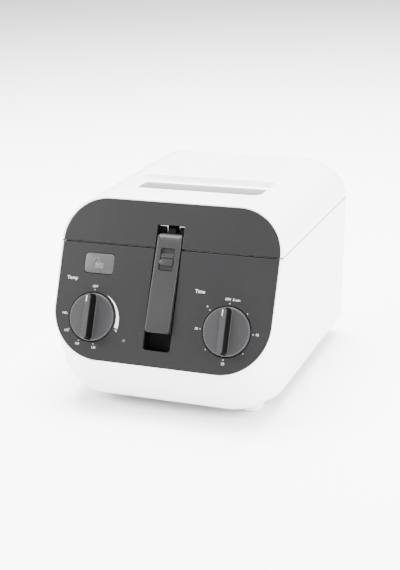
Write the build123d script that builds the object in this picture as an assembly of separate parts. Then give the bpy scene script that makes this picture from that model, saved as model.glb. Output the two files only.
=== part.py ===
from build123d import *
import os
from math import acos, cos, pi, radians, sin, tan

# A household deep fryer with a sloping control fascia, a rear-hinged lid and an outside
# handle that raises the frying basket while the lid is shut.
# Millimetres. +Z is up and the fascia faces -Y. The shapes are made in a working frame whose
# y = 0 is where the fascia meets the parting line; save() moves them to the part's own frame,
# whose origin is at the bottom centre of the whole fryer.

# ---- Overall form -------------------------------------------------------------------------
BODY_W = 265.0          # outer width at the parting line
BASE_W = BODY_W - 12.0          # outer width at the bottom, before its edge is rounded
REAR_Y = 275.0          # rear wall, behind the parting line's front end
PART_Z = 184.0          # height of the parting line between casing and lid
TOP_Z = 233.4           # top of the lid
BASE_Z = 12.0           # bottom edge of the casing
CHIN_Z = 61.0           # height where the front starts to recede to the base
CHIN_Y = -56.0          # front of the casing at the chin
BASE_FRONT_Y = -34.0    # front of the casing at the bottom, before its edge is rounded
BASE_EDGE_R = 20.0      # rounding of the bottom edge
CHIN_CORNER_R = 58.0    # plan radius of the front corners at the chin
BASE_CORNER_R = 46.0    # plan radius of the front corners at the bottom edge
REAR_CORNER_R = 16.0    # plan radius of the rear corners
REAR_TOP_R = 26.0       # radius between the lid's top and its rear
WALL = 2.5              # moulded wall
PARTING_GAP = 1.6       # open joint line between casing and lid

# ---- Fascia -------------------------------------------------------------------------------
TILT = 24.3             # lean of the fascia from the vertical, in degrees
FASCIA_W = BODY_W - 7.0
FASCIA_RISE = 51.2      # fascia above the parting line, along the slope
FASCIA_DROP = 131.6     # fascia below the parting line, along the slope
SHOULDER_R = 51.2       # upper corner radius
CHIN_R = 57.8           # lower corner radius
FASCIA_T = 3.0          # plate thickness
LIP = 3.6               # white rim around the fascia
FIT = 0.3               # gap between a plate and the opening it fills

# ---- Handle, its pivot and the basket lift ---------------------------------------------------
WELL_HALF = 16.3        # half width of the handle's well
WELL_TOP = 26.6         # upper end of the well, along the slope
WELL_BOTTOM = -114.0
WELL_DEPTH = 17.5
WELL_WALL = 1.5
HANDLE_HALF = WELL_HALF - 1.9
HANDLE_END = -93.9      # lower end of the handle, along the slope
HANDLE_T = 14.0         # thickness at the pivot
HANDLE_END_T = 11.0     # thickness at the free end
HANDLE_PROUD = 5.9      # how far the free end stands out
PIVOT_T = 11.0          # pivot, along the slope
PIVOT_N = -7.0          # pivot, below the fascia's face
HANDLE_PIN_R = 2.0
PIN_PLAY = 0.05         # radial clearance of a pin or shaft in its bore
EAR_T = 1.2             # thickness of the pivot ears
EAR_CLEAR = 0.4         # gap between handle and ear
MODULE = 1.5            # of the two toothed sectors that turn the lift lever
HUB_TEETH = 16          # of a full circle, on the handle
LEVER_TEETH = 12        # of a full circle, on the lift lever
PRESSURE = 20.0         # pressure angle of the teeth, in degrees
TOOTH_RISE = 0.85       # of the module, above the pitch circle
TOOTH_FALL = 1.15       # of the module, below it
BACKLASH = 0.35
LEVER_SLOPE = 25.0      # the lever's axis lies this far below level, seen from the pivot
LEVER_PIN_R = 2.0
ARM_LENGTH = 31.0
ARM_HALF = 4.0
ARM_T = 6.0
LIFT_PIN_R = 2.5
LIFT_PLAY = 1.4         # play of the lift pin in the basket's slot
CHEEK_IN = 4.6          # inner face of the lever bracket's cheeks
CHEEK_T = 1.5
CHEEK_EYE_R = 5.0

# ---- Slider on the handle, release button, knobs -------------------------------------------
SLIDER_HALF = HANDLE_HALF - 6.0
SLIDER_TOP = 0.5
SLIDER_BOTTOM = -24.7
SLIDER_TRAVEL = 6.0
BUTTON_AT = (51.6 - BODY_W / 2, -23.1)
BUTTON_W = 35.5
BUTTON_H = 22.3
BUTTON_R = 4.2
BUTTON_TRAVEL = 3.0
TEMPERATURE_AT = (50.1 - BODY_W / 2, -84.1)
TIMER_AT = (BODY_W / 2 - 53.5, -84.1)
KNOB_R = 27.1
KNOB_GAP = 1.1          # dark gap around a knob
KNOB_FACE = 1.5         # knob face above the fascia
KNOB_DEPTH = 6.0        # knob skirt below the fascia
CUP_DEPTH = 8.0         # depth of the knob's cup
GRIP_W = 8.4
GRIP_LENGTH = 52.0
GRIP_TOP = 16.5         # grip's crest above the fascia
SHAFT_R = 3.0
SHAFT_END = -28.0
LAMP_AT = (-39.7, -106.5)
LAMP_R = 1.6

# ---- Bowl, basket, shield, element -----------------------------------------------------------
BOWL_HALF_W = BODY_W / 2 - 22.5
BOWL_FRONT = 24.0
BOWL_REAR = REAR_Y - 38.0
BOWL_FLOOR_Z = 56.0
BOWL_WALL = 1.5
BOWL_CORNER_R = 30.0
FLANGE = 6.0            # width of the bowl's flange
FLANGE_T = 1.4
BASKET_GAP = 12.0       # bowl wall to basket
BASKET_Z = 72.0
BASKET_RIM_Z = 140.0    # low enough for the raised rim to pass under the lift lever
BASKET_WALL = 2.0
SHIELD_GAP = 6.0
SHIELD_Z = 44.0
SHIELD_TOP = 150.0      # below the release button's bracket
SHIELD_T = 0.8
ELEMENT_T = 7.0

# ---- Lid, window, filters --------------------------------------------------------------------
DECK_Z = 221.5          # upper face of the lid's inner deck
DECK_T = 2.5
LINER_Z = 215.5         # upper face of the metal inner lid
LINER_T = 1.0
SEAL_H = 3.1
COVER_HALF = BODY_W / 2 - 35.0
COVER_FRONT = 57.0
COVER_REAR = REAR_Y - 20.0
COVER_CORNER_R = 12.0
COVER_EDGE_R = 2.4
WINDOW_HALF = COVER_HALF - 13.5
WINDOW_FRONT = 66.7
WINDOW_REAR = 129.0
WINDOW_R = 9.0
WINDOW_SLOPE = 4.5      # how far the recess walls lean in
GLASS_T = 3.0
GRILLE_HALF = COVER_HALF - 21.5
GRILLE_FRONT = 152.0
GRILLE_REAR = COVER_REAR - 11.0
GRILLE_ROWS = 20
GRILLE_SLOT = 1.6

# ---- Hinge, feet, fasteners ------------------------------------------------------------------
HINGE_X = 60.0
HINGE_R = 4.0
HINGE_PIN_R = 1.5
HINGE_INSET = 1.5       # axis in front of the rear face
HINGE_LIFT = 2.0        # axis above the parting line
KNUCKLE_HALF = 3.7
EAR_HALF = 10.0
FOOT_R = 14.0
FOOT_X = BODY_W / 2 - 41.1
FOOT_FRONT_Y = 9.0
FOOT_REAR_Y = REAR_Y - 30.0
SCREW_R = 1.6
GLAND_AT = (BODY_W / 2 - 47.5, 42.0)
GLAND_R = 8.0
CORD_HOLE_R = 3.6

# ---- Worked out from the sizes above ----------------------------------------------------------
SIN = sin(radians(TILT))
COS = cos(radians(TILT))
SWING = 90.0 - TILT                                  # the handle rises to level
LEVER_SWING = SWING * HUB_TEETH / LEVER_TEETH
ARM_REST = LEVER_SWING / 2                           # the arm swings as far below level as above
LIFT = 2 * ARM_LENGTH * sin(radians(ARM_REST))
HALF_W = BODY_W / 2
CASING_TOP = PART_Z - PARTING_GAP / 2
LID_BOTTOM = PART_Z + PARTING_GAP / 2
HINGE_Y = REAR_Y - HINGE_INSET
HINGE_Z = PART_Z + HINGE_LIFT
FRONT_MOST = (TIMER_AT[1] - GRIP_LENGTH / 2) * SIN - GRIP_TOP * COS
REAR_MOST = HINGE_Y + HINGE_R
SHIFT_Y = -(FRONT_MOST + REAR_MOST) / 2
FAR = 500.0                                          # longer than the fryer any way

FASCIA = Plane(origin=(0, 0, PART_Z), x_dir=(1, 0, 0), z_dir=(0, -COS, SIN))
PIVOT_Y = PIVOT_T * SIN - PIVOT_N * COS
PIVOT_Z = PART_Z + PIVOT_T * COS + PIVOT_N * SIN
GEAR_SPACING = MODULE * (HUB_TEETH + LEVER_TEETH) / 2
LEVER_Y = PIVOT_Y + GEAR_SPACING * cos(radians(LEVER_SLOPE))
LEVER_Z = PIVOT_Z - GEAR_SPACING * sin(radians(LEVER_SLOPE))
LIFT_Y = LEVER_Y + ARM_LENGTH * cos(radians(ARM_REST))
LIFT_Z = LEVER_Z - ARM_LENGTH * sin(radians(ARM_REST))


# ---- Helpers ----------------------------------------------------------------------------------
def save(node, shape):
    """Writes one sub-part in the part's own frame."""
    export_step(Pos(0, SHIFT_Y, 0) * shape, f"parts/{node}.step")


def block(x0, x1, y0, y1, z0, z1):
    """A box between two corners of the working frame."""
    return Pos((x0 + x1) / 2, (y0 + y1) / 2, (z0 + z1) / 2) * Box(x1 - x0, y1 - y0, z1 - z0)


def on_fascia(shape):
    """Moves a shape made at (s, t, n) onto the fascia: s across, t up the slope, n outwards."""
    return FASCIA.location * shape


def rod(radius, x0, x1, y, z):
    """A round bar along X."""
    return Pos((x0 + x1) / 2, y, z) * Rot(0, 90, 0) * Cylinder(radius, x1 - x0)


def disc(at, radius, n0, n1):
    """A round slice standing on the fascia's plane, still in fascia coordinates."""
    return Pos(at[0], at[1], (n0 + n1) / 2) * Cylinder(radius, n1 - n0)


def plan(half_w, front, rear, r_front, r_rear):
    """A rounded rectangle seen from above, with its own front and rear corner radii."""
    outline = Pos(0, (front + rear) / 2) * Rectangle(2 * half_w, rear - front)
    outline = fillet(outline.vertices().group_by(Axis.Y)[-1], r_rear)
    return fillet(outline.vertices().group_by(Axis.Y)[0], r_front)


def tub(half_w, front, rear, z0, z1, radius):
    """An upright rounded block."""
    return Pos(0, 0, z0) * extrude(plan(half_w, front, rear, radius, radius), z1 - z0)


def fascia_outline(grow=0.0):
    """The fascia's outline in its own plane, or one that lies grow outside it."""
    top = FASCIA_RISE + grow
    bottom = -FASCIA_DROP - grow
    outline = Pos(0, (top + bottom) / 2) * Rectangle(FASCIA_W + 2 * grow, top - bottom)
    outline = fillet(outline.vertices().group_by(Axis.Y)[-1], SHOULDER_R + grow)
    return fillet(outline.vertices().group_by(Axis.Y)[0], CHIN_R + grow)


def fascia_slab(grow, n0, n1):
    """The fascia's outline as a slab between two levels along its normal."""
    return on_fascia(Pos(0, 0, n0) * extrude(fascia_outline(grow), n1 - n0))


def in_front(n):
    """Everything in front of the fascia's plane moved out by n."""
    return on_fascia(Pos(0, 0, n + FAR / 2) * Box(2 * FAR, 2 * FAR, FAR))


def above(z):
    return block(-FAR, FAR, -FAR, FAR, z, z + FAR)


def below(z):
    return block(-FAR, FAR, -FAR, FAR, z - FAR, z)


def between(z, low, high, z_high):
    """A size that changes evenly from low at the casing's bottom to high at height z_high."""
    return low + (high - low) * (z - BASE_Z) / (z_high - BASE_Z)


def casing_plan(z, inset, front=None, tuck=0.0):
    """The casing's outline at height z; tuck draws it in where the bottom edge is rounded."""
    draw = inset + tuck
    half = between(min(z, PART_Z), BASE_W / 2, HALF_W, PART_Z) - draw
    corner = between(min(z, CHIN_Z), BASE_CORNER_R, CHIN_CORNER_R, CHIN_Z) - draw
    if front is None:
        front = between(min(z, CHIN_Z), BASE_FRONT_Y, CHIN_Y, CHIN_Z) + draw
    else:
        corner = 1.0
    return Pos(0, 0, z) * plan(half, front, REAR_Y - draw, corner, max(REAR_CORNER_R - draw, 2.0))


def stack(sections):
    """A solid through level outlines, straight-sided from each one to the next."""
    solid = loft(sections[:2], ruled=True)
    for lower, upper in zip(sections[1:], sections[2:]):
        solid += loft([lower, upper], ruled=True)
    return solid


def outer_form(inset=0.0):
    """The closed outside of casing and lid together, or the same form inset all round."""
    slip = inset * tan(radians(TILT))     # keeps the inset outline at the same height
    outline = Pos(0, slip, -inset) * fascia_outline(LIP - inset)
    loaf = extrude(on_fascia(outline), amount=FAR, dir=(0, 1, 0))
    side = Pos((REAR_Y - inset - FAR) / 2, (TOP_Z - inset) / 2) * Rectangle(
        REAR_Y - inset + FAR, TOP_Z - inset
    )
    rear_top = side.vertices().group_by(Axis.Y)[-1].sort_by(Axis.X)[-1]
    side = fillet(rear_top, REAR_TOP_R - inset)
    loaf = loaf & extrude(Plane.YZ * side, HALF_W, both=True)
    loaf = loaf & stack([casing_plan(z, inset, -FAR) for z in (BASE_Z, PART_Z, TOP_Z)])
    rounding = []
    for angle in (0, 30, 60):
        height = BASE_Z + inset + (BASE_EDGE_R - inset) * (1 - cos(radians(angle)))
        tuck = (BASE_EDGE_R - inset) * (1 - sin(radians(angle)))
        rounding.append(casing_plan(height, inset, tuck=tuck))
    levels = (BASE_Z + BASE_EDGE_R, CHIN_Z, PART_Z)
    plinth = stack(rounding + [casing_plan(z, inset) for z in levels])
    return loaf + (plinth - in_front(-inset))


OUTSIDE = outer_form()
INSIDE = outer_form(WALL)
SHELL = OUTSIDE - INSIDE

# The space that the toothed sectors and the lift lever sweep, with room for the lever's bracket.
SLOT_HALF = CHEEK_IN + CHEEK_T + 0.9
SLOT_BOTTOM = LEVER_Z - 14.3
ARM_SLOT = block(-SLOT_HALF, SLOT_HALF, 2.0, BOWL_FRONT + 8.0, SLOT_BOTTOM, LINER_Z - 8.0)
LATCH_X = BUTTON_AT[0]
LATCH_Y = 14.0
LATCH_SLOT = block(LATCH_X - 5, LATCH_X + 5, LATCH_Y - 3, LATCH_Y + 8, CASING_TOP - 20, LID_BOTTOM + 6)


# ---- Casing, fascia and base --------------------------------------------------------------------
def hinge_ears(grow=0.0):
    """The fixed ears of both hinges, as the round ends about the axis."""
    ears = Part()
    for side in (-1, 1):
        centre = side * HINGE_X
        ears += rod(HINGE_R + grow, centre - EAR_HALF - grow, centre + EAR_HALF + grow, HINGE_Y, HINGE_Z)
    return ears


def knuckles(radius, half):
    parts = Part()
    for side in (-1, 1):
        parts += rod(radius, side * HINGE_X - half, side * HINGE_X + half, HINGE_Y, HINGE_Z)
    return parts


BOSS_SPOTS = [(x, y) for x in (34.5 - HALF_W, HALF_W - 34.5) for y in (40.0, REAR_Y - 60.0)]
TAB_SPOTS = [(14.5 - HALF_W, -40.0), (HALF_W - 14.5, -40.0), (-31.0, -128.0), (31.0, -128.0)]
TAB_T = 4.0


def base_outline(grow, z0, z1):
    """The flat bottom's outline, which the base plate fills, as a block."""
    half = BASE_W / 2 - BASE_EDGE_R + grow
    front, rear = BASE_FRONT_Y + BASE_EDGE_R - grow, REAR_Y - BASE_EDGE_R + grow
    corner = BASE_CORNER_R - BASE_EDGE_R + grow
    return Pos(0, 0, z0) * extrude(plan(half, front, rear, corner, 6.0 + grow), z1 - z0)


def outer_casing():
    casing = SHELL & below(CASING_TOP)
    casing -= base_outline(FIT, BASE_Z - 1, BASE_Z + WALL + 1)
    for x, y in BOSS_SPOTS:
        reach = block(min(x, 2 * x), max(x, 2 * x), y - 2, y + 2, BASE_Z + 2 * WALL, 40)
        boss = Pos(x, y, (BASE_Z + 2 * WALL + 40) / 2) * Cylinder(5, 40 - BASE_Z - 2 * WALL)
        casing += (boss + reach) & OUTSIDE
    for s, t in TAB_SPOTS:
        tab = on_fascia(Pos(s, t, -FASCIA_T - TAB_T / 2 - 0.1) * Box(22, 23, TAB_T))
        casing += tab & OUTSIDE
        casing -= on_fascia(Pos(s, t, -FASCIA_T - 4) * Cylinder(SCREW_R, 10))
    for x, y in BOSS_SPOTS:
        casing -= Pos(x, y, 27) * Cylinder(SCREW_R, 24)
    casing -= fascia_slab(FIT, -FASCIA_T - 0.05, 30)
    casing -= hinge_ears(0.4)
    casing -= Pos(GLAND_AT[0], REAR_Y, GLAND_AT[1]) * Rot(90, 0, 0) * Cylinder(GLAND_R, 20)
    return casing


def base_plate():
    plate = base_outline(0, BASE_Z, BASE_Z + WALL)
    plate += base_outline(2.5, BASE_Z + WALL + 1, BASE_Z + 2 * WALL)
    plate += base_outline(-3, BASE_Z, BASE_Z + 2 * WALL)
    for x in (-90, 90):
        for y in (60, 200):
            plate += Pos(x, y, (BASE_Z + WALL + SHIELD_Z) / 2) * Cylinder(5, SHIELD_Z - BASE_Z - WALL)
    for x, y in BOSS_SPOTS:
        plate -= Pos(x, y, BASE_Z) * Cylinder(SCREW_R + 0.3, 20)
    for i in range(8):
        plate -= Pos(-42 + 12 * i, 130, BASE_Z) * Box(4, 60, 20)
    return plate


def base_screws():
    group = Part()
    for x, y in BOSS_SPOTS:
        group += Pos(x, y, BASE_Z - 1.0) * Cylinder(3.2, 2.0) + Pos(x, y, BASE_Z + 9) * Cylinder(SCREW_R, 18)
    return group


def feet():
    group = Part()
    for x in (-FOOT_X, FOOT_X):
        for y in (FOOT_FRONT_Y, FOOT_REAR_Y):
            pad = Cylinder(FOOT_R, BASE_Z)
            pad = fillet(pad.edges().group_by(Axis.Z)[0], 3.5)
            group += Pos(x, y, BASE_Z / 2) * pad
    return group


def well_box(grow, n0, n1):
    """The handle's well as a block, grown outwards, in fascia coordinates."""
    return Pos(0, (WELL_TOP + WELL_BOTTOM) / 2, (n0 + n1) / 2) * Box(
        2 * (WELL_HALF + grow), WELL_TOP - WELL_BOTTOM + 2 * grow, n1 - n0
    )


def button_outline(grow=0.0):
    return Pos(*BUTTON_AT) * RectangleRounded(BUTTON_W + 2 * grow, BUTTON_H + 2 * grow, BUTTON_R + grow)


def control_fascia():
    plate = Pos(0, 0, -FASCIA_T) * extrude(fascia_outline(), FASCIA_T)
    for at in (TEMPERATURE_AT, TIMER_AT):
        plate += disc(at, KNOB_R + KNOB_GAP + 1.5, -CUP_DEPTH - 1.5, -FASCIA_T)
        plate -= disc(at, KNOB_R + KNOB_GAP, -CUP_DEPTH, 1)
        plate -= disc(at, SHAFT_R + FIT, -20, 1)
    plate -= well_box(0, -20, 5)
    plate -= Pos(0, 0, -10) * extrude(button_outline(0.4), 20)
    plate -= disc(LAMP_AT, LAMP_R + PIN_PLAY, -20, 5)
    for spot in TAB_SPOTS:
        plate -= disc(spot, SCREW_R, -FASCIA_T - 5, -1.2)
    return on_fascia(plate) & below(CASING_TOP)


def fascia_screws():
    group = Part()
    for spot in TAB_SPOTS:
        group += disc(spot, SCREW_R, -FASCIA_T - TAB_T - 0.1, -1.3)
        group += disc(spot, 3.0, -FASCIA_T - TAB_T - 2.1, -FASCIA_T - TAB_T - 0.1)
    return on_fascia(group)


def handle_well():
    outer = well_box(WELL_WALL, -WELL_DEPTH - WELL_WALL, -FASCIA_T - 0.1)
    inner = well_box(0, -WELL_DEPTH, 5)
    return (on_fascia(outer - inner) & below(CASING_TOP)) - ARM_SLOT


def pivot_ears():
    """Two upright ears inside the well that hold the handle's pin above the parting line."""
    inner_x = HANDLE_HALF + EAR_CLEAR
    ears = Part()
    for side in (-1, 1):
        x0, x1 = sorted((side * inner_x, side * (inner_x + EAR_T)))
        foot0, foot1 = sorted((side * inner_x, side * WELL_HALF))
        eye = rod(5.5, x0, x1, PIVOT_Y, PIVOT_Z)
        leg = on_fascia(Pos((x0 + x1) / 2, PIVOT_T / 2 - 2, PIVOT_N) * Box(EAR_T, PIVOT_T + 4, 9))
        foot = on_fascia(Pos((foot0 + foot1) / 2, -16, PIVOT_N) * Box(foot1 - foot0, 28, 9))
        ears += eye + leg + (foot & below(CASING_TOP))
    return ears - rod(HANDLE_PIN_R, -FAR / 2, FAR / 2, PIVOT_Y, PIVOT_Z)


def handle_pin():
    end = HANDLE_HALF + EAR_CLEAR + EAR_T
    return rod(HANDLE_PIN_R, -end, end, PIVOT_Y, PIVOT_Z)


def lever_bracket():
    """Two cheeks on the back of the well that hold the lift lever's pin inside the bowl's rim."""
    well_back = -WELL_DEPTH - WELL_WALL
    eye_t = LEVER_Y * SIN + (LEVER_Z - PART_Z) * COS
    eye_n = -LEVER_Y * COS + (LEVER_Z - PART_Z) * SIN
    low_t, high_t = -6.0, 5.0
    cheek = Polygon(
        (low_t, well_back), (eye_t, eye_n - CHEEK_EYE_R), (eye_t + CHEEK_EYE_R, eye_n), (high_t, well_back), align=None
    )
    cheek += Pos(eye_t, eye_n) * Circle(CHEEK_EYE_R)
    bracket = Part()
    for side in (-1, 1):
        x0, x1 = sorted((side * CHEEK_IN, side * (CHEEK_IN + CHEEK_T)))
        foot0, foot1 = sorted((side * CHEEK_IN, side * (CHEEK_IN + 8.0)))
        foot = Pos((foot0 + foot1) / 2, (low_t + high_t) / 2, well_back - CHEEK_T / 2)
        bracket += across(cheek, x0, x1) + on_fascia(foot * Box(foot1 - foot0, high_t - low_t, CHEEK_T))
    return bracket - rod(LEVER_PIN_R, -FAR / 2, FAR / 2, LEVER_Y, LEVER_Z)


def lever_pin():
    end = CHEEK_IN + CHEEK_T + 0.4
    return rod(LEVER_PIN_R, -end, end, LEVER_Y, LEVER_Z)


def bowl_surround():
    """The frame that carries the bowl's flange and closes the casing's top."""
    frame = INSIDE & block(-FAR, FAR, -FAR, FAR, CASING_TOP - 2.2, CASING_TOP)
    frame -= in_front(-FASCIA_T - FIT)
    frame -= tub(BOWL_HALF_W + FIT, BOWL_FRONT - FIT, BOWL_REAR + FIT, 0, FAR, BOWL_CORNER_R)
    frame -= on_fascia(well_box(WELL_WALL + 0.1, -WELL_DEPTH - WELL_WALL - 0.1, 5))
    frame -= LATCH_SLOT
    frame -= ARM_SLOT
    for side in (-1, 1):
        frame -= block(side * HINGE_X - 12, side * HINGE_X + 12, HINGE_Y - 10, FAR, 0, FAR)
    return frame


def oil_bowl():
    top = CASING_TOP + FLANGE_T
    bowl = tub(BOWL_HALF_W, BOWL_FRONT, BOWL_REAR, BOWL_FLOOR_Z, top, BOWL_CORNER_R)
    bowl += tub(BOWL_HALF_W + FLANGE, BOWL_FRONT - FLANGE, BOWL_REAR + FLANGE, CASING_TOP, top, BOWL_CORNER_R + FLANGE)
    bowl -= tub(
        BOWL_HALF_W - BOWL_WALL,
        BOWL_FRONT + BOWL_WALL,
        BOWL_REAR - BOWL_WALL,
        BOWL_FLOOR_Z + BOWL_WALL,
        FAR,
        BOWL_CORNER_R - BOWL_WALL,
    )
    return bowl - ARM_SLOT


def heat_shield():
    half = BOWL_HALF_W + SHIELD_GAP
    front, rear = BOWL_FRONT - SHIELD_GAP, BOWL_REAR + SHIELD_GAP
    can = tub(half, front, rear, SHIELD_Z, SHIELD_TOP, BOWL_CORNER_R + SHIELD_GAP)
    return can - tub(
        half - SHIELD_T,
        front + SHIELD_T,
        rear - SHIELD_T,
        SHIELD_Z + SHIELD_T,
        FAR,
        BOWL_CORNER_R + SHIELD_GAP - SHIELD_T,
    )


def heating_element():
    z0 = BOWL_FLOOR_Z - ELEMENT_T
    ring = tub(78, 62, 200, z0, BOWL_FLOOR_Z, 30)
    ring -= tub(78 - ELEMENT_T, 62 + ELEMENT_T, 200 - ELEMENT_T, 0, FAR, 30 - ELEMENT_T)
    return ring - block(-9, 9, 190, 210, 0, FAR)


def bush(at, n_back):
    """The threaded nose of a control, with the bore that its shaft turns in."""
    return disc(at, 5, n_back, -CUP_DEPTH - 1.6) - disc(at, SHAFT_R + PIN_PLAY, -FAR / 2, 0)


CONTROL_N = -CUP_DEPTH - 1.5 - 1.9   # front of the switch bodies, behind their brackets


def thermostat_body():
    body = disc(TEMPERATURE_AT, 18, CONTROL_N - 22, CONTROL_N)
    body -= disc(TEMPERATURE_AT, SHAFT_R + PIN_PLAY, SHAFT_END - 1, 0)
    return on_fascia(body + bush(TEMPERATURE_AT, CONTROL_N))


def timer_body():
    body = Pos(TIMER_AT[0], TIMER_AT[1], CONTROL_N - 15) * Box(44, 44, 30)
    body -= disc(TIMER_AT, SHAFT_R + PIN_PLAY, SHAFT_END - 1, 0)
    return on_fascia(body + bush(TIMER_AT, CONTROL_N))


def timer_bell():
    return on_fascia(disc(TIMER_AT, 13, CONTROL_N - 35, CONTROL_N - 30))


def control_bracket(at):
    plate = Pos(at[0], at[1], CONTROL_N + 0.8) * Box(54, 20, 1.5)
    return on_fascia(plate - disc(at, 5.1, -FAR / 2, 0))


def pilot_lamp_lens():
    return on_fascia(disc(LAMP_AT, LAMP_R, -6, 0.4))


def pilot_lamp():
    return on_fascia(disc(LAMP_AT, 4, -22, -6))


def latch_bracket():
    """A U-shaped bracket behind the release button that seats its spring."""
    s, t = BUTTON_AT
    seat = Pos(s, t, -28) * Box(44, 16, 2)
    legs = Pos(s - 21, t, -15) * Box(2, 16, 24) + Pos(s + 21, t, -15) * Box(2, 16, 24)
    return on_fascia(seat + legs)


def release_spring():
    coil = Helix(pitch=1.7, height=6.8, radius=4.2)
    wire = sweep(Plane(coil @ 0, z_dir=coil % 0) * Circle(0.4), path=coil)
    return on_fascia(Pos(BUTTON_AT[0], BUTTON_AT[1], -26.5) * wire)


def hinge_brackets():
    brackets = Part()
    for side in (-1, 1):
        x = side * HINGE_X
        barrel = rod(HINGE_R, x - EAR_HALF, x + EAR_HALF, HINGE_Y, HINGE_Z)
        leg = block(x - EAR_HALF, x + EAR_HALF, HINGE_Y - 7, HINGE_Y - 1.1, CASING_TOP - 16, HINGE_Z - 1)
        barrel += leg & INSIDE
        barrel -= rod(HINGE_R + 0.5, x - KNUCKLE_HALF - 0.3, x + KNUCKLE_HALF + 0.3, HINGE_Y, HINGE_Z)
        brackets += barrel
    return brackets - knuckles(HINGE_PIN_R, EAR_HALF + 2)


def hinge_pins():
    return knuckles(HINGE_PIN_R, EAR_HALF + 1)


def thermostat_bulb():
    return rod(3, -40, 40, 130, BOWL_FLOOR_Z - 3)


def thermal_cutout():
    return Pos(0, 160, BOWL_FLOOR_Z - 4) * Cylinder(8, 8)


def terminal_block():
    z0 = BASE_Z + 2 * WALL
    housing = block(66, 104, 244, 258, z0, z0 + 13)
    for i in range(3):
        housing -= Pos(74 + 11 * i, 251, z0 + 13) * Cylinder(2.2, 12)
    return housing


def cord_gland():
    x, z = GLAND_AT
    turn = Rot(90, 0, 0)
    sleeve = Pos(x, REAR_Y - 4, z) * turn * Cylinder(GLAND_R - 0.05, 12)
    flange = Pos(x, REAR_Y + 1.1, z) * turn * Cylinder(GLAND_R + 3, 2.1)
    nut = Pos(x, REAR_Y - WALL - 4, z) * turn * Cylinder(GLAND_R + 2, 4)
    return sleeve + flange + nut - Pos(x, REAR_Y, z) * turn * Cylinder(CORD_HOLE_R, 60)


# ---- Release button ------------------------------------------------------------------------------
def release_button():
    cap = Pos(0, 0, -5) * extrude(button_outline(), 5.8)
    return on_fascia(cap)


def latch_catch():
    """The stem behind the button and the plate that faces the lid's hook."""
    s, t = BUTTON_AT
    stem = disc(BUTTON_AT, 3, -14, -5)
    plate = Pos(s, t + 3, -15) * Box(10, 18, 2)
    return on_fascia(stem + plate)


# ---- Knobs ------------------------------------------------------------------------------------------
def knob(at):
    body = disc((0, 0), KNOB_R, -KNOB_DEPTH, KNOB_FACE)
    body += Pos(0, 0, KNOB_FACE) * extrude(Rot(0, 0, 90) * SlotOverall(GRIP_LENGTH, GRIP_W), GRIP_TOP - KNOB_FACE)
    body -= Pos(0, 0, -KNOB_DEPTH) * Cylinder(SHAFT_R, 8)
    return on_fascia(Pos(at[0], at[1], 0) * body)


def shaft(at):
    return on_fascia(disc(at, SHAFT_R, SHAFT_END, -KNOB_DEPTH + 4))


# ---- Handle -----------------------------------------------------------------------------------------
def handle_profile(thinner=0.0):
    """The handle's side view in (t, n): round about the pivot, thinner towards its free end."""
    r = HANDLE_T / 2 - thinner
    end = HANDLE_END + thinner
    face = HANDLE_PROUD - thinner
    back = HANDLE_PROUD - HANDLE_END_T + thinner
    bar = Polygon(
        (PIVOT_T, PIVOT_N + r), (end, face), (end, back), (PIVOT_T, PIVOT_N - r), align=None
    )
    return bar + Pos(PIVOT_T, PIVOT_N) * Circle(r)


def across(profile, s0, s1):
    """Extrudes a (t, n) profile across the fascia, between s0 and s1."""
    side = Plane(origin=(s0, 0, 0), x_dir=(0, 1, 0), z_dir=(1, 0, 0))
    return on_fascia(extrude(side * profile, s1 - s0, dir=(1, 0, 0)))


def toothed_sector(y, z, teeth, middle, first, last, half):
    """A fan of involute teeth about (y, z): tooth number 0 points middle radians above +Y.

    A tooth's half angle is that at the pitch circle less what the involute gains up to a radius.
    """
    pitch = MODULE * teeth / 2
    base = pitch * cos(radians(PRESSURE))
    root, tip = pitch - TOOTH_FALL * MODULE, pitch + TOOTH_RISE * MODULE
    step = 2 * pi / teeth

    def involute(angle):
        return tan(angle) - angle

    def half_angle(radius):
        gain = involute(acos(min(1.0, base / radius))) - involute(radians(PRESSURE))
        return pi / (2 * teeth) - BACKLASH / (2 * pitch) - gain

    def at(radius, angle):
        return radius * cos(angle), radius * sin(angle)

    foot = max(base, root)
    radii = [root] + [foot + (tip - foot) * i / 5 for i in range(6)]
    points = [(0, 0), at(root, middle + (first - 0.5) * step)]
    for k in range(first, last + 1):
        centre = middle + k * step
        points += [at(radius, centre - half_angle(radius)) for radius in radii]
        points += [at(radius, centre + half_angle(radius)) for radius in reversed(radii)]
    points.append(at(root, middle + (last + 0.5) * step))
    side = Plane(origin=(-half, y, z), x_dir=(0, 1, 0), z_dir=(1, 0, 0))
    return extrude(side * Polygon(*points, align=None), 2 * half, dir=(1, 0, 0))


HUB_R = 6.0


def sector_solid(grow=0.0):
    """The handle's toothed sector with its hub, before the pin's bore."""
    half = ARM_HALF + grow
    fan = toothed_sector(PIVOT_Y, PIVOT_Z, HUB_TEETH, -radians(LEVER_SLOPE), -1, 4, half)
    return fan + rod(HUB_R + grow, -half, half, PIVOT_Y, PIVOT_Z)


BACK_T = 1.8            # thickness of the handle's back cover
HANDLE_SHELL = 2.6


def handle_hollow():
    """The space inside the handle, open to the back."""
    top = SLIDER_BOTTOM - 3
    end = HANDLE_END + HANDLE_SHELL
    return across(
        Polygon((top, 0.4), (end, HANDLE_PROUD - HANDLE_SHELL), (end, -30), (top, -30), align=None),
        -HANDLE_HALF + HANDLE_SHELL,
        HANDLE_HALF - HANDLE_SHELL,
    )


def slider_seat(grow=0.0):
    """The slanted floor of the slider's slot, cut from the handle's face."""
    length = SLIDER_TOP - SLIDER_BOTTOM + 2 * grow
    middle = (SLIDER_TOP + SLIDER_BOTTOM) / 2
    return on_fascia(Pos(0, middle, 1.0) * Box(2 * (SLIDER_HALF + grow), length, 5.0))


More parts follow.
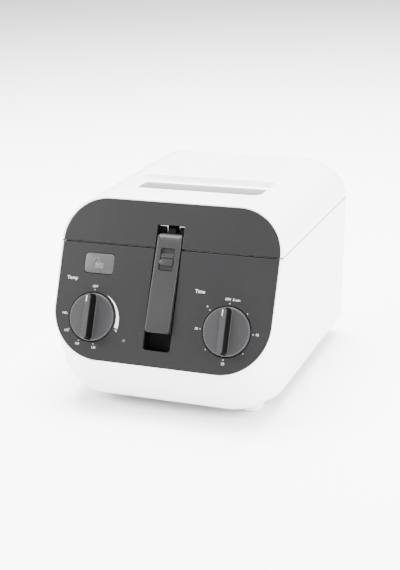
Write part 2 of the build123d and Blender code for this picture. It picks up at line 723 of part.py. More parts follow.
def handle_grip():
    grip = across(handle_profile(), -HANDLE_HALF, HANDLE_HALF)
    grip -= handle_hollow()
    grip -= slider_seat()
    grip -= sector_solid(0.1)
    return grip - rod(HANDLE_PIN_R + PIN_PLAY, -FAR / 2, FAR / 2, PIVOT_Y, PIVOT_Z)


def handle_back():
    """The cover let into the back of the handle."""
    inside = handle_hollow() & across(handle_profile(), -HANDLE_HALF, HANDLE_HALF)
    return inside - across(handle_profile(BACK_T), -HANDLE_HALF, HANDLE_HALF)


def handle_sector():
    return sector_solid() - rod(HANDLE_PIN_R + PIN_PLAY, -FAR / 2, FAR / 2, PIVOT_Y, PIVOT_Z)


# ---- Lift lever -------------------------------------------------------------------------------------
def lift_lever():
    """A lever with its own toothed sector, so that its arm rises when the handle does."""
    gap = pi - radians(LEVER_SLOPE)
    fan = toothed_sector(LEVER_Y, LEVER_Z, LEVER_TEETH, gap - pi / LEVER_TEETH, -3, 1, ARM_HALF)
    hub = rod(CHEEK_EYE_R, -ARM_HALF, ARM_HALF, LEVER_Y, LEVER_Z)
    eye = rod(4.6, -ARM_HALF, ARM_HALF, LIFT_Y, LIFT_Z)
    bar = Pos(0, (LEVER_Y + LIFT_Y) / 2, (LEVER_Z + LIFT_Z) / 2) * Rot(-ARM_REST, 0, 0) * Box(
        2 * ARM_HALF, ARM_LENGTH, ARM_T
    )
    lever = fan + hub + eye + bar
    lever -= rod(LEVER_PIN_R + PIN_PLAY, -FAR / 2, FAR / 2, LEVER_Y, LEVER_Z)
    return lever - rod(LIFT_PIN_R, -FAR / 2, FAR / 2, LIFT_Y, LIFT_Z)


SADDLE_IN = ARM_HALF + 3.0   # inner face of the basket's cheeks
SADDLE_T = 2.0


def lift_pin():
    return rod(LIFT_PIN_R, -SADDLE_IN - SADDLE_T - 1, SADDLE_IN + SADDLE_T + 1, LIFT_Y, LIFT_Z)


def handle_slider():
    s_half = SLIDER_HALF - FIT
    length = SLIDER_TOP - SLIDER_BOTTOM - SLIDER_TRAVEL - 2 * FIT
    bottom = SLIDER_BOTTOM + FIT
    plate = Pos(0, bottom + length / 2, -0.5) * Box(2 * s_half, length, 1.4)
    ridge = Pos(0, bottom + 9.5, 1.2) * Box(2 * s_half, 6.2, 2.0)
    return on_fascia(plate + ridge)


# ---- Basket -----------------------------------------------------------------------------------------
def basket_mesh():
    half = BOWL_HALF_W - BASKET_GAP
    front, rear = BOWL_FRONT + BASKET_GAP + 2, BOWL_REAR - BASKET_GAP - 5
    top = BASKET_RIM_Z - 3
    cage = tub(half, front, rear, BASKET_Z, top, 20)
    return cage - tub(half - BASKET_WALL, front + BASKET_WALL, rear - BASKET_WALL, BASKET_Z + BASKET_WALL, FAR, 18)


def basket_rim():
    half = BOWL_HALF_W - BASKET_GAP + 1.5
    front, rear = BOWL_FRONT + BASKET_GAP + 0.5, BOWL_REAR - BASKET_GAP - 3.5
    rim = tub(half, front, rear, BASKET_RIM_Z - 3, BASKET_RIM_Z, 21)
    return rim - tub(half - 3.5, front + 3.5, rear - 3.5, 0, FAR, 18)


def basket_saddle():
    """A tongue on the basket's front rim with two slotted cheeks that the lift pin carries."""
    swept = ARM_LENGTH * (1 - cos(radians(ARM_REST)))
    room = LIFT_PIN_R + LIFT_PLAY
    y0, y1 = LIFT_Y - room - 2.4, LIFT_Y + swept + room + 2.4
    outer = SADDLE_IN + SADDLE_T
    saddle = block(-outer, outer, y0, y1, BASKET_RIM_Z, LIFT_Z + room + 2.4)
    saddle -= block(-SADDLE_IN, SADDLE_IN, y0 - 1, y1 + 1, BASKET_RIM_Z, FAR)
    saddle += block(-outer, outer, BOWL_FRONT + BASKET_GAP + 0.5, y1, BASKET_RIM_Z, BASKET_RIM_Z + 1.5)
    slot = Plane(origin=(-outer - 1, LIFT_Y + swept / 2, LIFT_Z), x_dir=(0, 1, 0), z_dir=(1, 0, 0))
    return saddle - extrude(slot * SlotOverall(swept + 2 * room, 2 * room), 2 * outer + 2)


# ---- Lid --------------------------------------------------------------------------------------------
def recess(grow, z0, z1):
    """The window's tapered recess between two heights, grown outwards."""
    def section(z):
        lean = WINDOW_SLOPE * (TOP_Z - z) / (TOP_Z - DECK_Z)
        shape = plan(
            WINDOW_HALF - lean + grow,
            WINDOW_FRONT + lean - grow,
            WINDOW_REAR - lean + grow,
            WINDOW_R + grow,
            WINDOW_R + grow,
        )
        return Pos(0, 0, z) * shape

    return loft([section(z0), section(z1)], ruled=True)


def lid_shell():
    shell = SHELL & above(LID_BOTTOM)
    deck = INSIDE & block(-FAR, FAR, -FAR, FAR, DECK_Z - DECK_T, DECK_Z)
    shell += deck - in_front(-FASCIA_T - 0.2)
    opening_r = COVER_CORNER_R + FIT
    shell -= tub(COVER_HALF + FIT, COVER_FRONT - FIT, COVER_REAR + FIT, DECK_Z, FAR, opening_r)
    shell -= tub(WINDOW_HALF - 12, WINDOW_FRONT + 8, WINDOW_REAR - 6, 0, FAR, WINDOW_R)
    shell -= tub(GRILLE_HALF - 10, GRILLE_FRONT + 4, GRILLE_REAR - 4, 0, FAR, 8)
    shell -= fascia_slab(FIT, -FASCIA_T - 0.05, 30)
    shell -= hinge_ears(0.4)
    shell += knuckles(HINGE_R, KNUCKLE_HALF)
    for side in (-1, 1):
        x = side * HINGE_X
        shell += block(x - KNUCKLE_HALF, x + KNUCKLE_HALF, REAR_Y - WALL, REAR_Y, HINGE_Z, HINGE_Z + 8)
    for x, y in LID_SCREW_SPOTS:
        post = Pos(x, y, (LINER_Z + DECK_Z) / 2 - 0.5) * Cylinder(4, DECK_Z - LINER_Z - 1)
        shell += post
        shell -= Pos(x, y, LINER_Z) * Cylinder(SCREW_R, 2 * (DECK_Z - LINER_Z - 1.5))
    return shell - knuckles(HINGE_PIN_R + PIN_PLAY, EAR_HALF + 2)


LID_SCREW_SPOTS = [(x, y) for x in (20.0 - BOWL_HALF_W, BOWL_HALF_W - 20.0) for y in (50.0, REAR_Y - 60.0)]


def lid_fascia():
    plate = Pos(0, 0, -FASCIA_T) * extrude(fascia_outline(), FASCIA_T)
    plate -= well_box(0, -20, 5)
    return on_fascia(plate) & above(LID_BOTTOM)


def lid_liner():
    """The metal inner lid: a shallow pan, open downwards, over the bowl."""
    half = BOWL_HALF_W + FLANGE - 1
    front, rear = BOWL_FRONT - FLANGE + 1, BOWL_REAR + FLANGE - 1
    skirt_z = LID_BOTTOM + SEAL_H + 0.1
    radius = BOWL_CORNER_R + FLANGE - 1
    pan = tub(half, front, rear, skirt_z, LINER_Z, radius)
    inner = tub(half - LINER_T, front + LINER_T, rear - LINER_T, 0, LINER_Z - LINER_T, radius - LINER_T)
    pan -= inner
    pan -= tub(WINDOW_HALF - 12, WINDOW_FRONT + 8, WINDOW_REAR - 6, 0, FAR, WINDOW_R)
    for i in range(6):
        pan -= Pos(-50 + 20 * i, 190, LINER_Z) * Box(8, 36, 10)
    for x, y in LID_SCREW_SPOTS:
        pan -= Pos(x, y, LINER_Z) * Cylinder(SCREW_R, 10)
    return pan - ARM_SLOT


def lid_screws():
    group = Part()
    for x, y in LID_SCREW_SPOTS:
        group += Pos(x, y, LINER_Z - LINER_T - 1) * Cylinder(3, 2)
        group += Pos(x, y, LINER_Z - LINER_T + 2) * Cylinder(SCREW_R, 4)
    return group


def lid_seal():
    half = BOWL_HALF_W + FLANGE
    front, rear = BOWL_FRONT - FLANGE, BOWL_REAR + FLANGE
    z0 = LID_BOTTOM + 0.1
    ring = tub(half, front, rear, z0, z0 + SEAL_H, BOWL_CORNER_R + FLANGE)
    ring -= tub(half - 6, front + 6, rear - 6, 0, FAR, BOWL_CORNER_R)
    return ring - ARM_SLOT


def window_outline(grow, z0, z1):
    return tub(WINDOW_HALF - 4 + grow, WINDOW_FRONT + 3.5 - grow, WINDOW_REAR - 1.5 + grow, z0, z1, WINDOW_R + grow)


def window_glass():
    return window_outline(0, DECK_Z, DECK_Z + GLASS_T)


def window_seal():
    return window_outline(2.6, DECK_Z, DECK_Z + GLASS_T) - window_outline(0.05, 0, FAR)


def latch_hook():
    """The blade that hangs from the lid into the casing behind the release button."""
    blade = block(LATCH_X - 3, LATCH_X + 3, LATCH_Y, LATCH_Y + 3, CASING_TOP - 15, DECK_Z - DECK_T)
    nose = block(LATCH_X - 3, LATCH_X + 3, LATCH_Y - 0.6, LATCH_Y, CASING_TOP - 15, CASING_TOP - 12)
    return (blade + nose) - in_front(-FASCIA_T - 0.1)


def grease_filter():
    return tub(GRILLE_HALF - 4, GRILLE_FRONT - 1, GRILLE_REAR + 1, DECK_Z, DECK_Z + 3, 8)


def carbon_filter():
    return tub(GRILLE_HALF - 4, GRILLE_FRONT - 1, GRILLE_REAR + 1, DECK_Z + 3.1, DECK_Z + 7.6, 8)


def filter_cover():
    cover = tub(COVER_HALF, COVER_FRONT, COVER_REAR, DECK_Z + 0.1, TOP_Z, COVER_CORNER_R)
    cover = fillet(cover.edges().group_by(Axis.Z)[-1], COVER_EDGE_R)
    cover -= tub(
        COVER_HALF - WALL, COVER_FRONT + WALL, COVER_REAR - WALL, 0, TOP_Z - WALL, COVER_CORNER_R - WALL
    )
    floor = DECK_Z + GLASS_T + 0.3
    cover += recess(2.2, floor, TOP_Z - 0.5)
    cover -= recess(0, floor - 0.01, TOP_Z + 0.01)
    pitch = (GRILLE_REAR - GRILLE_FRONT) / GRILLE_ROWS
    for i in range(GRILLE_ROWS):
        y = GRILLE_FRONT + (i + 0.5) * pitch
        for side in (-1, 1):
            cover -= Pos(side * GRILLE_HALF / 2, y, TOP_Z) * Box(GRILLE_HALF - 6, GRILLE_SLOT, 3 * WALL)
    return cover


# ---- Write every sub-part ------------------------------------------------------------------------
NODES = {
    "outer_casing": outer_casing,
    "base_plate": base_plate,
    "base_screws": base_screws,
    "feet": feet,
    "control_fascia": control_fascia,
    "fascia_screws": fascia_screws,
    "handle_well": handle_well,
    "pivot_ears": pivot_ears,
    "handle_pin": handle_pin,
    "lever_bracket": lever_bracket,
    "lever_pin": lever_pin,
    "bowl_surround": bowl_surround,
    "oil_bowl": oil_bowl,
    "heat_shield": heat_shield,
    "heating_element": heating_element,
    "thermostat_body": thermostat_body,
    "thermostat_bracket": lambda: control_bracket(TEMPERATURE_AT),
    "thermostat_bulb": thermostat_bulb,
    "timer_body": timer_body,
    "timer_bracket": lambda: control_bracket(TIMER_AT),
    "timer_bell": timer_bell,
    "pilot_lamp": pilot_lamp,
    "pilot_lamp_lens": pilot_lamp_lens,
    "thermal_cutout": thermal_cutout,
    "terminal_block": terminal_block,
    "cord_gland": cord_gland,
    "latch_bracket": latch_bracket,
    "release_spring": release_spring,
    "hinge_brackets": hinge_brackets,
    "hinge_pins": hinge_pins,
    "release_button": release_button,
    "latch_catch": latch_catch,
    "temperature_knob": lambda: knob(TEMPERATURE_AT),
    "temperature_shaft": lambda: shaft(TEMPERATURE_AT),
    "timer_knob": lambda: knob(TIMER_AT),
    "timer_shaft": lambda: shaft(TIMER_AT),
    "handle_grip": handle_grip,
    "handle_back": handle_back,
    "handle_sector": handle_sector,
    "lift_lever": lift_lever,
    "lift_pin": lift_pin,
    "handle_slider": handle_slider,
    "basket_mesh": basket_mesh,
    "basket_rim": basket_rim,
    "basket_saddle": basket_saddle,
    "lid_shell": lid_shell,
    "lid_fascia": lid_fascia,
    "lid_liner": lid_liner,
    "lid_screws": lid_screws,
    "lid_seal": lid_seal,
    "window_glass": window_glass,
    "window_seal": window_seal,
    "latch_hook": latch_hook,
    "grease_filter": grease_filter,
    "carbon_filter": carbon_filter,
    "filter_cover": filter_cover,
}

os.makedirs("parts", exist_ok=True)
for name, make in NODES.items():
    save(name, make())
print(f"fascia at y {SHIFT_Y:.2f}, pivot {PIVOT_Y + SHIFT_Y:.3f} {PIVOT_Z:.3f}, lift {LIFT:.3f}, swing {SWING:.1f}")
print(f"lever axis {LEVER_Y + SHIFT_Y:.3f} {LEVER_Z:.3f}, lever swing {LEVER_SWING:.2f}")
print(f"hinge axis {HINGE_Y + SHIFT_Y:.3f} {HINGE_Z:.3f}, lift pin {LIFT_Y + SHIFT_Y:.3f} {LIFT_Z:.3f}")
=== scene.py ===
from math import cos, pi, radians, sin, tan

import bmesh
import bpy
import numpy as np
from mathutils import Matrix, Vector


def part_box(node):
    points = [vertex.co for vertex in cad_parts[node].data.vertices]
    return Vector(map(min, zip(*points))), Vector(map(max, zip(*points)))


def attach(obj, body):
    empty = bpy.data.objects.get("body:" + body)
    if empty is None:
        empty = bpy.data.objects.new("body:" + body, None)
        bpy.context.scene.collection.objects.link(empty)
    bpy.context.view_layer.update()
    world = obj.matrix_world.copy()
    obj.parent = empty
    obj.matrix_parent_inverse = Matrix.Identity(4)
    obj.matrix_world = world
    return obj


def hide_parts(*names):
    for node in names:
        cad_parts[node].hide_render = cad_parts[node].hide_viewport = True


# The looks of a household deep fryer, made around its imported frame.
# Shapes are worked out in millimetres in a working frame whose y = 0 is where the fascia meets
# the parting line, and to_row() takes them to the row frame in metres.

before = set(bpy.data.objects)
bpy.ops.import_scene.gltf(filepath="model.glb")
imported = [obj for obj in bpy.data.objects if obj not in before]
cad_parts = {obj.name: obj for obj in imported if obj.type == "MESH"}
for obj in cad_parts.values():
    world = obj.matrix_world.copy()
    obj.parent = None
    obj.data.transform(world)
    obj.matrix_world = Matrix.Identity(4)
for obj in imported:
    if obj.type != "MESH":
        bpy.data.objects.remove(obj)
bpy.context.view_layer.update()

# ---- Sizes in millimetres --------------------------------------------------------------------
MM = 0.001
TILT = 24.3
SIN, COS = sin(radians(TILT)), cos(radians(TILT))
PART_Z = 184.0
TOP_Z = 233.4
BASE_Z = 12.0
REAR_Y = 275.0
HALF_W = 132.5
BASE_HALF = 126.5
GAP = 0.8  # half of the open joint line
WALL = 2.3
REAR_R = 16.0  # plan radius of the rear corners
REAR_TOP_R = 26.0  # radius between the lid's top and its rear
BASE_EDGE_R = 20.0
CHIN_TOP = (-54.6, 59.3)  # (y, z) where the chin starts to recede
HEEL = (-34.0, BASE_Z)  # (y, z) where the chin would meet the bottom
HEEL_R = 18.0
FASCIA_HALF = 129.0
RISE = 51.2
DROP = 131.6
SHOULDER_R = 51.2
CHIN_R = 57.8
LIP = 3.6
WELL_HALF = 16.3
WELL_TOP = 26.6
WELL_BOTTOM = -114.0
WELL_BACK = -17.5
SLOT_HALF = 7.6  # half width of the slot behind the lid's notch
PLATE_T = 3.0
PLATE_EDGE = 0.45
JOINT = GAP / COS + 0.25
PRINT_N = 0.05
HANDLE_HALF = 14.4
HANDLE_TOP = 18.0
HANDLE_END = -93.9
HANDLE_PROUD = 5.9
PIVOT_T, PIVOT_N = 11.0, -7.0
KNOB_R = 27.1
KNOB_GAP = 1.1
COVER_HALF, COVER_FRONT, COVER_REAR = 97.5, 57.0, 255.0
SEAM = 0.35
WINDOW_HALF, WINDOW_FRONT, WINDOW_REAR, WINDOW_R = 84.0, 66.7, 129.0, 9.0
GLASS_Z = 224.6
GRILLE_HALF, GRILLE_FRONT, GRILLE_REAR = 76.0, 152.0, 244.0
HOLES_ACROSS, HOLES_ALONG = 29, 20
TEMPERATURE_AT, TIMER_AT = (-82.4, -84.1), (79.0, -84.1)
BUTTON_AT, BUTTON_SIZE = (-80.9, -23.1), (35.5, 22.3)
LAMP_AT, LAMP_R = (-39.7, -106.5), 1.65
GRIP_LENGTH, GRIP_W = 52.0, 8.4
WIRE_R = 0.55

pin_low, pin_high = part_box("handle_pin")
SHIFT = (pin_low.y + pin_high.y) / 2 / MM - (PIVOT_T * SIN - PIVOT_N * COS)


# ---- Geometry helpers ------------------------------------------------------------------------
def to_row(points):
    """Working-frame millimetres to row-frame metres."""
    return (np.asarray(points, float).reshape(-1, 3) + (0.0, SHIFT, 0.0)) * MM


def on_fascia(s, t, n):
    """Fascia coordinates (across, up the slope, outwards) to the working frame."""
    s, t, n = np.broadcast_arrays(np.asarray(s, float), t, n)
    return np.stack([s, t * SIN - n * COS, PART_Z + t * COS + n * SIN], -1)


def grid_faces(rows, cols, closed=False):
    """The quads of a grid of points; closed joins the last column to the first."""
    i = np.arange(rows - 1)[:, None] * cols
    j = np.arange(cols if closed else cols - 1)[None, :]
    k = (j + 1) % cols
    return np.stack([i + j, i + k, i + cols + k, i + cols + j], -1).reshape(-1, 4)


def surface(points, closed=False):
    """A grid of points, (rows, columns, 3), as (vertices, faces)."""
    rows, cols = points.shape[:2]
    return points.reshape(-1, 3), grid_faces(rows, cols, closed)


def joined(*parts):
    """Several (vertices, faces) as one."""
    vertices, faces, start = [], [], 0
    for v, f in parts:
        vertices.append(np.asarray(v, float).reshape(-1, 3))
        faces.extend([[int(corner) + start for corner in face] for face in f])
        start += len(vertices[-1])
    return np.concatenate(vertices), faces


def ring_stack(rings, cap_first=True, cap_last=True):
    """Closed rings of points, (rings, points, 3), skinned in order, with flat ends."""
    v, f = surface(rings, closed=True)
    faces = f.tolist()
    count = rings.shape[1]
    if cap_first:
        faces.append(list(range(count))[::-1])
    if cap_last:
        faces.append([(rings.shape[0] - 1) * count + i for i in range(count)])
    return v, faces


def piece(name, geometry, body, slot, *materials, sharp=35.0, recalculate=True):
    """A mesh object in the row frame that rides on a body."""
    vertices, faces = geometry
    mesh = bpy.data.meshes.new(name)
    mesh.from_pydata(to_row(vertices).tolist(), [], [list(f) for f in faces])
    obj = bpy.data.objects.new(name, mesh)
    bpy.context.scene.collection.objects.link(obj)
    return finish_piece(obj, body, slot, *materials, sharp=sharp, recalculate=recalculate)


def finish_piece(obj, body, slot, *materials, sharp=35.0, recalculate=True, weld=0.00001):
    """Welds, shades and dresses a mesh, and puts it on its body. The weld is in metres."""
    mesh = obj.data
    work = bmesh.new()
    work.from_mesh(mesh)
    bmesh.ops.remove_doubles(work, verts=work.verts, dist=weld)
    bmesh.ops.dissolve_degenerate(work, edges=work.edges, dist=weld / 10)
    if recalculate:
        bmesh.ops.recalc_face_normals(work, faces=work.faces)
    work.to_mesh(mesh)
    work.free()
    mesh.shade_smooth()
    mesh.set_sharp_from_angle(angle=radians(sharp))
    for material in materials:
        mesh.materials.append(material)
    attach(obj, body)
    return obj


def outwards(geometry, centre):
    """Turns the faces of an open skin so that they point away from centre."""
    v, f = geometry
    v, f = np.asarray(v, float).reshape(-1, 3), np.asarray(f)
    a, b, c, d = (v[f[:, i]] for i in range(4))
    normal = np.cross(c - a, d - b)
    middle = (a + b + c + d) / 4 - np.asarray(centre, float)
    return (v, f[:, ::-1]) if (normal * middle).sum() < 0 else (v, f)


def thicken(obj, amount, bevel=0.4):
    """Gives an open skin its wall, inwards, and softens the wall's rims."""
    wall = obj.modifiers.new("wall", "SOLIDIFY")
    wall.thickness = amount * MM
    wall.offset = -1.0
    wall.use_even_offset = False
    rim = obj.modifiers.new("rim", "BEVEL")
    rim.width = bevel * MM
    rim.segments = 2
    rim.limit_method = "ANGLE"
    rim.angle_limit = radians(60)
    return obj


def arc(cx, cy, rx, ry, start, end, steps):
    """Points of an elliptical arc, from one angle to another in degrees."""
    a = np.radians(np.linspace(start, end, steps + 1))
    return np.stack([cx + rx * np.cos(a), cy + ry * np.sin(a)], -1)


def rounded_rect(cx, cy, w, h, r, steps=8, side=4):
    """A closed rounded rectangle, anticlockwise: four quarter arcs with points along the sides."""
    r = min(r, w / 2 - 1e-4, h / 2 - 1e-4)
    corners = []
    for quarter, (sx, sy) in enumerate(((1, 1), (-1, 1), (-1, -1), (1, -1))):
        corners.append(
            arc(cx + sx * (w / 2 - r), cy + sy * (h / 2 - r), r, r, 90 * quarter, 90 * quarter + 90, steps)
        )
    parts = []
    for here, following in zip(corners, corners[1:] + corners[:1]):
        parts.append(here)
        share = np.linspace(0, 1, side + 2)[1:-1, None]
        parts.append(here[-1] + (following[0] - here[-1]) * share)
    return np.concatenate(parts)


def lathe(at, profile, count=72):
    """Turns a profile of (radius, n) about an axis that stands on the fascia at (s, t).

    s = s0 + radius cos a, t = t0 + radius sin a, and n comes from the profile.
    """
    profile = np.asarray(profile, float)
    angle = np.linspace(0, 2 * pi, count, endpoint=False)
    s = at[0] + profile[:, :1] * np.cos(angle)
    t = at[1] + profile[:, :1] * np.sin(angle)
    return on_fascia(s, t, profile[:, 1:] + 0 * s)


def spin(centre, profile, count=48):
    """Turns a profile of (radius, z): x = x0 + radius cos a and y = y0 + radius sin a."""
    profile = np.asarray(profile, float)
    angle = np.linspace(0, 2 * pi, count, endpoint=False)
    x = centre[0] + profile[:, :1] * np.cos(angle)
    y = centre[1] + profile[:, :1] * np.sin(angle)
    return np.stack([x, y, profile[:, 1:] + 0 * x], -1)


def tube(path, radius, sides=8, closed=False):
    """A round wire along a path: a circle in each point's plane square to the path."""
    path = np.asarray(path, float)
    if closed:
        ahead = np.roll(path, -1, 0) - np.roll(path, 1, 0)
    else:
        ahead = np.gradient(path, axis=0)
    ahead /= np.linalg.norm(ahead, axis=1, keepdims=True)
    upright = abs(ahead[:, 2]).max() >= 0.9
    reference = np.array([0.71, 0.70, 0.05] if upright else [0.31, 0.27, 0.91])
    side = np.cross(ahead, reference)
    side /= np.linalg.norm(side, axis=1, keepdims=True)
    other = np.cross(ahead, side)
    a = np.linspace(0, 2 * pi, sides, endpoint=False)
    circle = side[:, None] * np.cos(a)[:, None] + other[:, None] * np.sin(a)[:, None]
    rings = path[:, None] + radius * circle
    if closed:
        return surface(np.concatenate([rings, rings[:1]]), closed=True)
    return ring_stack(rings)


# ---- Materials -------------------------------------------------------------------------------
def new_group(name, inputs, outputs):
    group = bpy.data.node_groups.new(name, "ShaderNodeTree")
    for label, kind, value in inputs:
        socket = group.interface.new_socket(name=label, in_out="INPUT", socket_type=kind)
        socket.default_value = value
    for label, kind in outputs:
        group.interface.new_socket(name=label, in_out="OUTPUT", socket_type=kind)
    return group, group.nodes.new("NodeGroupInput"), group.nodes.new("NodeGroupOutput")


def node(tree, kind, **settings):
    made = tree.nodes.new(kind)
    for key, value in settings.items():
        setattr(made, key, value)
    return made


def combine(tree, operation, *values):
    """A math node fed by sockets or plain numbers; returns its result."""
    made = node(tree, "ShaderNodeMath", operation=operation)
    for socket, value in zip(made.inputs, values):
        if isinstance(value, float):
            socket.default_value = value
        else:
            tree.links.new(value, socket)
    return made.outputs[0]


def moulded_group():
    """Moulded plastic: fine grain for the bump, slow drift for colour and gloss."""
    group, given, result = new_group(
        "moulded_surface",
        [
            ("Color", "NodeSocketColor", (0.8, 0.8, 0.8, 1)),
            ("Drift", "NodeSocketFloat", 0.03),
            ("Gloss", "NodeSocketFloat", 0.3),
            ("Gloss drift", "NodeSocketFloat", 0.05),
            ("Grain size", "NodeSocketFloat", 2500.0),
            ("Grain depth", "NodeSocketFloat", 0.02),
        ],
        [("Color", "NodeSocketColor"), ("Roughness", "NodeSocketFloat"), ("Normal", "NodeSocketVector")],
    )
    place = node(group, "ShaderNodeTexCoord")
    slow = node(group, "ShaderNodeTexNoise")
    slow.inputs["Scale"].default_value = 14.0
    slow.inputs["Detail"].default_value = 4.0
    group.links.new(place.outputs["Object"], slow.inputs["Vector"])
    centred = combine(group, "SUBTRACT", slow.outputs["Fac"], 0.5)
    drift = combine(group, "MULTIPLY_ADD", centred, given.outputs["Drift"], 1.0)
    shade = node(group, "ShaderNodeVectorMath", operation="SCALE")
    group.links.new(given.outputs["Color"], shade.inputs[0])
    group.links.new(drift, shade.inputs["Scale"])
    group.links.new(shade.outputs[0], result.inputs["Color"])
    fine = node(group, "ShaderNodeTexNoise")
    fine.inputs["Detail"].default_value = 3.0
    group.links.new(place.outputs["Object"], fine.inputs["Vector"])
    group.links.new(given.outputs["Grain size"], fine.inputs["Scale"])
    gloss = combine(group, "MULTIPLY_ADD", centred, given.outputs["Gloss drift"], given.outputs["Gloss"])
    group.links.new(gloss, result.inputs["Roughness"])
    bump = node(group, "ShaderNodeBump")
    bump.inputs["Distance"].default_value = 0.0002
    group.links.new(given.outputs["Grain depth"], bump.inputs["Strength"])
    group.links.new(fine.outputs["Fac"], bump.inputs["Height"])
    group.links.new(bump.outputs["Normal"], result.inputs["Normal"])
    return group


def brushed_group():
    """Drawn or rolled metal: streaks along X in gloss, colour and bump."""
    group, given, result = new_group(
        "drawn_metal",
        [
            ("Color", "NodeSocketColor", (0.7, 0.7, 0.7, 1)),
            ("Gloss", "NodeSocketFloat", 0.3),
            ("Streak", "NodeSocketFloat", 0.15),
        ],
        [("Color", "NodeSocketColor"), ("Roughness", "NodeSocketFloat"), ("Normal", "NodeSocketVector")],
    )
    place = node(group, "ShaderNodeTexCoord")
    stretch = node(group, "ShaderNodeMapping")
    stretch.inputs["Scale"].default_value = (40.0, 1500.0, 1500.0)
    group.links.new(place.outputs["Object"], stretch.inputs["Vector"])
    streaks = node(group, "ShaderNodeTexNoise")
    streaks.inputs["Scale"].default_value = 1.0
    streaks.inputs["Detail"].default_value = 3.0
    group.links.new(stretch.outputs[0], streaks.inputs["Vector"])
    gloss = combine(group, "MULTIPLY_ADD", streaks.outputs["Fac"], given.outputs["Streak"], given.outputs["Gloss"])
    group.links.new(gloss, result.inputs["Roughness"])
    lift = combine(group, "MULTIPLY_ADD", streaks.outputs["Fac"], 0.16, 0.92)
    shade = node(group, "ShaderNodeVectorMath", operation="SCALE")
    group.links.new(given.outputs["Color"], shade.inputs[0])
    group.links.new(lift, shade.inputs["Scale"])
    group.links.new(shade.outputs[0], result.inputs["Color"])
    bump = node(group, "ShaderNodeBump")
    bump.inputs["Strength"].default_value = 0.06
    bump.inputs["Distance"].default_value = 0.0001
    group.links.new(streaks.outputs["Fac"], bump.inputs["Height"])
    group.links.new(bump.outputs["Normal"], result.inputs["Normal"])
    return group


MOULDED = moulded_group()
DRAWN = brushed_group()


def shader(name, group, values, **constants):
    """A material whose colour, gloss and bump come from a group; constants sit on the shader."""
    material = bpy.data.materials.new(name)
    material.use_nodes = True
    tree = material.node_tree
    surface_node = tree.nodes["Principled BSDF"]
    source = tree.nodes.new("ShaderNodeGroup")
    source.node_tree = group
    for label, value in values.items():
        source.inputs[label].default_value = (*value, 1.0) if isinstance(value, tuple) else value
    tree.links.new(source.outputs["Color"], surface_node.inputs["Base Color"])
    tree.links.new(source.outputs["Roughness"], surface_node.inputs["Roughness"])
    tree.links.new(source.outputs["Normal"], surface_node.inputs["Normal"])
    for label, value in constants.items():
        surface_node.inputs[label.replace("_", " ")].default_value = value
    material.diffuse_color = (*values["Color"], 1.0)
    return material


def moulded(name, color, gloss, drift=0.03, grain=0.02, size=2500.0, **constants):
    values = {"Color": color, "Gloss": gloss, "Drift": drift, "Grain depth": grain, "Grain size": size}
    return shader(name, MOULDED, values, **constants)


def metal(name, color, gloss, streak=0.15):
    return shader(name, DRAWN, {"Color": color, "Gloss": gloss, "Streak": streak}, Metallic=1.0)


WHITE = moulded("gloss_white_plastic", (0.80, 0.775, 0.765), 0.30, 0.015, 0.008, 900.0)
GRILLE_WHITE = moulded("grille_white_plastic", (0.78, 0.755, 0.745), 0.42, 0.015, 0.01, 900.0)
ANTHRACITE = moulded(
    "satin_anthracite", (0.008, 0.008, 0.0085), 0.38, 0.10, 0.06, 3200.0, Specular_IOR_Level=0.22
)
HANDLE_GREY = moulded(
    "handle_grey_plastic", (0.011, 0.011, 0.0115), 0.40, 0.08, 0.06, 3000.0, Specular_IOR_Level=0.25
)
KNOB_GREY = moulded(
    "knob_grey_plastic", (0.020, 0.020, 0.021), 0.42, 0.08, 0.06, 3000.0, Specular_IOR_Level=0.25
)
# Painted shade: near-black for the right-hand side faces of the knobs' grip bars, which stand in the shade.
GRIP_SIDE_SHADE = moulded(
    "grip_side_painted_shade", (0.001, 0.001, 0.001), 0.45, 0.05, 0.05, 2500.0, Specular_IOR_Level=0.08
)
BUTTON_GREY = moulded(
    "button_grey_plastic", (0.032, 0.032, 0.033), 0.45, 0.08, 0.06, 3000.0, Specular_IOR_Level=0.25
)
SIGN_GREY = moulded("sign_raised_grey", (0.05, 0.05, 0.052), 0.45, 0.05, 0.04)
# Painted shade: near-black that stands in for the shade in the joint lines, in the cups round the knobs and in the
# handle's well.
SHADE_BLACK = moulded(
    "painted_shade_black", (0.001, 0.001, 0.001), 0.60, 0.10, 0.10, 2500.0, Specular_IOR_Level=0.1
)
SWITCH_BLACK = moulded("switch_black_plastic", (0.015, 0.015, 0.015), 0.50, 0.10, 0.15)
FRAME_GREY = moulded("frame_grey_plastic", (0.25, 0.25, 0.25), 0.50, 0.06, 0.10)
CERAMIC = moulded("terminal_white", (0.75, 0.74, 0.70), 0.35, 0.04, 0.03)
PRINT = moulded("printed_white_ink", (0.45, 0.45, 0.45), 0.50, 0.06, 0.02)
SEAL = moulded("silicone_seal", (0.42, 0.41, 0.39), 0.60, 0.05, 0.06)
COATING = moulded(
    "non_stick_coating", (0.030, 0.030, 0.032), 0.38, 0.25, 0.25, 1800.0, Specular_IOR_Level=0.6
)
FELT = moulded("filter_felt", (0.72, 0.72, 0.70), 0.95, 0.15, 1.0, 1500.0)
CARBON = moulded("carbon_foam", (0.012, 0.012, 0.012), 0.95, 0.30, 1.0, 700.0)
LENS = moulded("lamp_lens", (0.06, 0.06, 0.06), 0.25, 0.02, 0.0, 900.0, Coat_Weight=0.2)
STEEL = metal("zinc_plated_steel", (0.56, 0.56, 0.57), 0.28)
ALUMINIUM = metal("rolled_aluminium", (0.74, 0.74, 0.75), 0.34, 0.2)
CHROME = metal("bright_wire", (0.70, 0.70, 0.71), 0.12, 0.08)


def glass_material():
    """Tinted window glass, a little steamed: dark, mostly opaque, with drifting gloss."""
    values = {"Color": (0.055, 0.062, 0.058), "Gloss": 0.08, "Gloss drift": 0.06, "Drift": 0.08}
    values["Grain depth"] = 0.01
    return shader("steamed_window_glass", MOULDED, values, Transmission_Weight=0.15, IOR=1.2)


GLASS = glass_material()

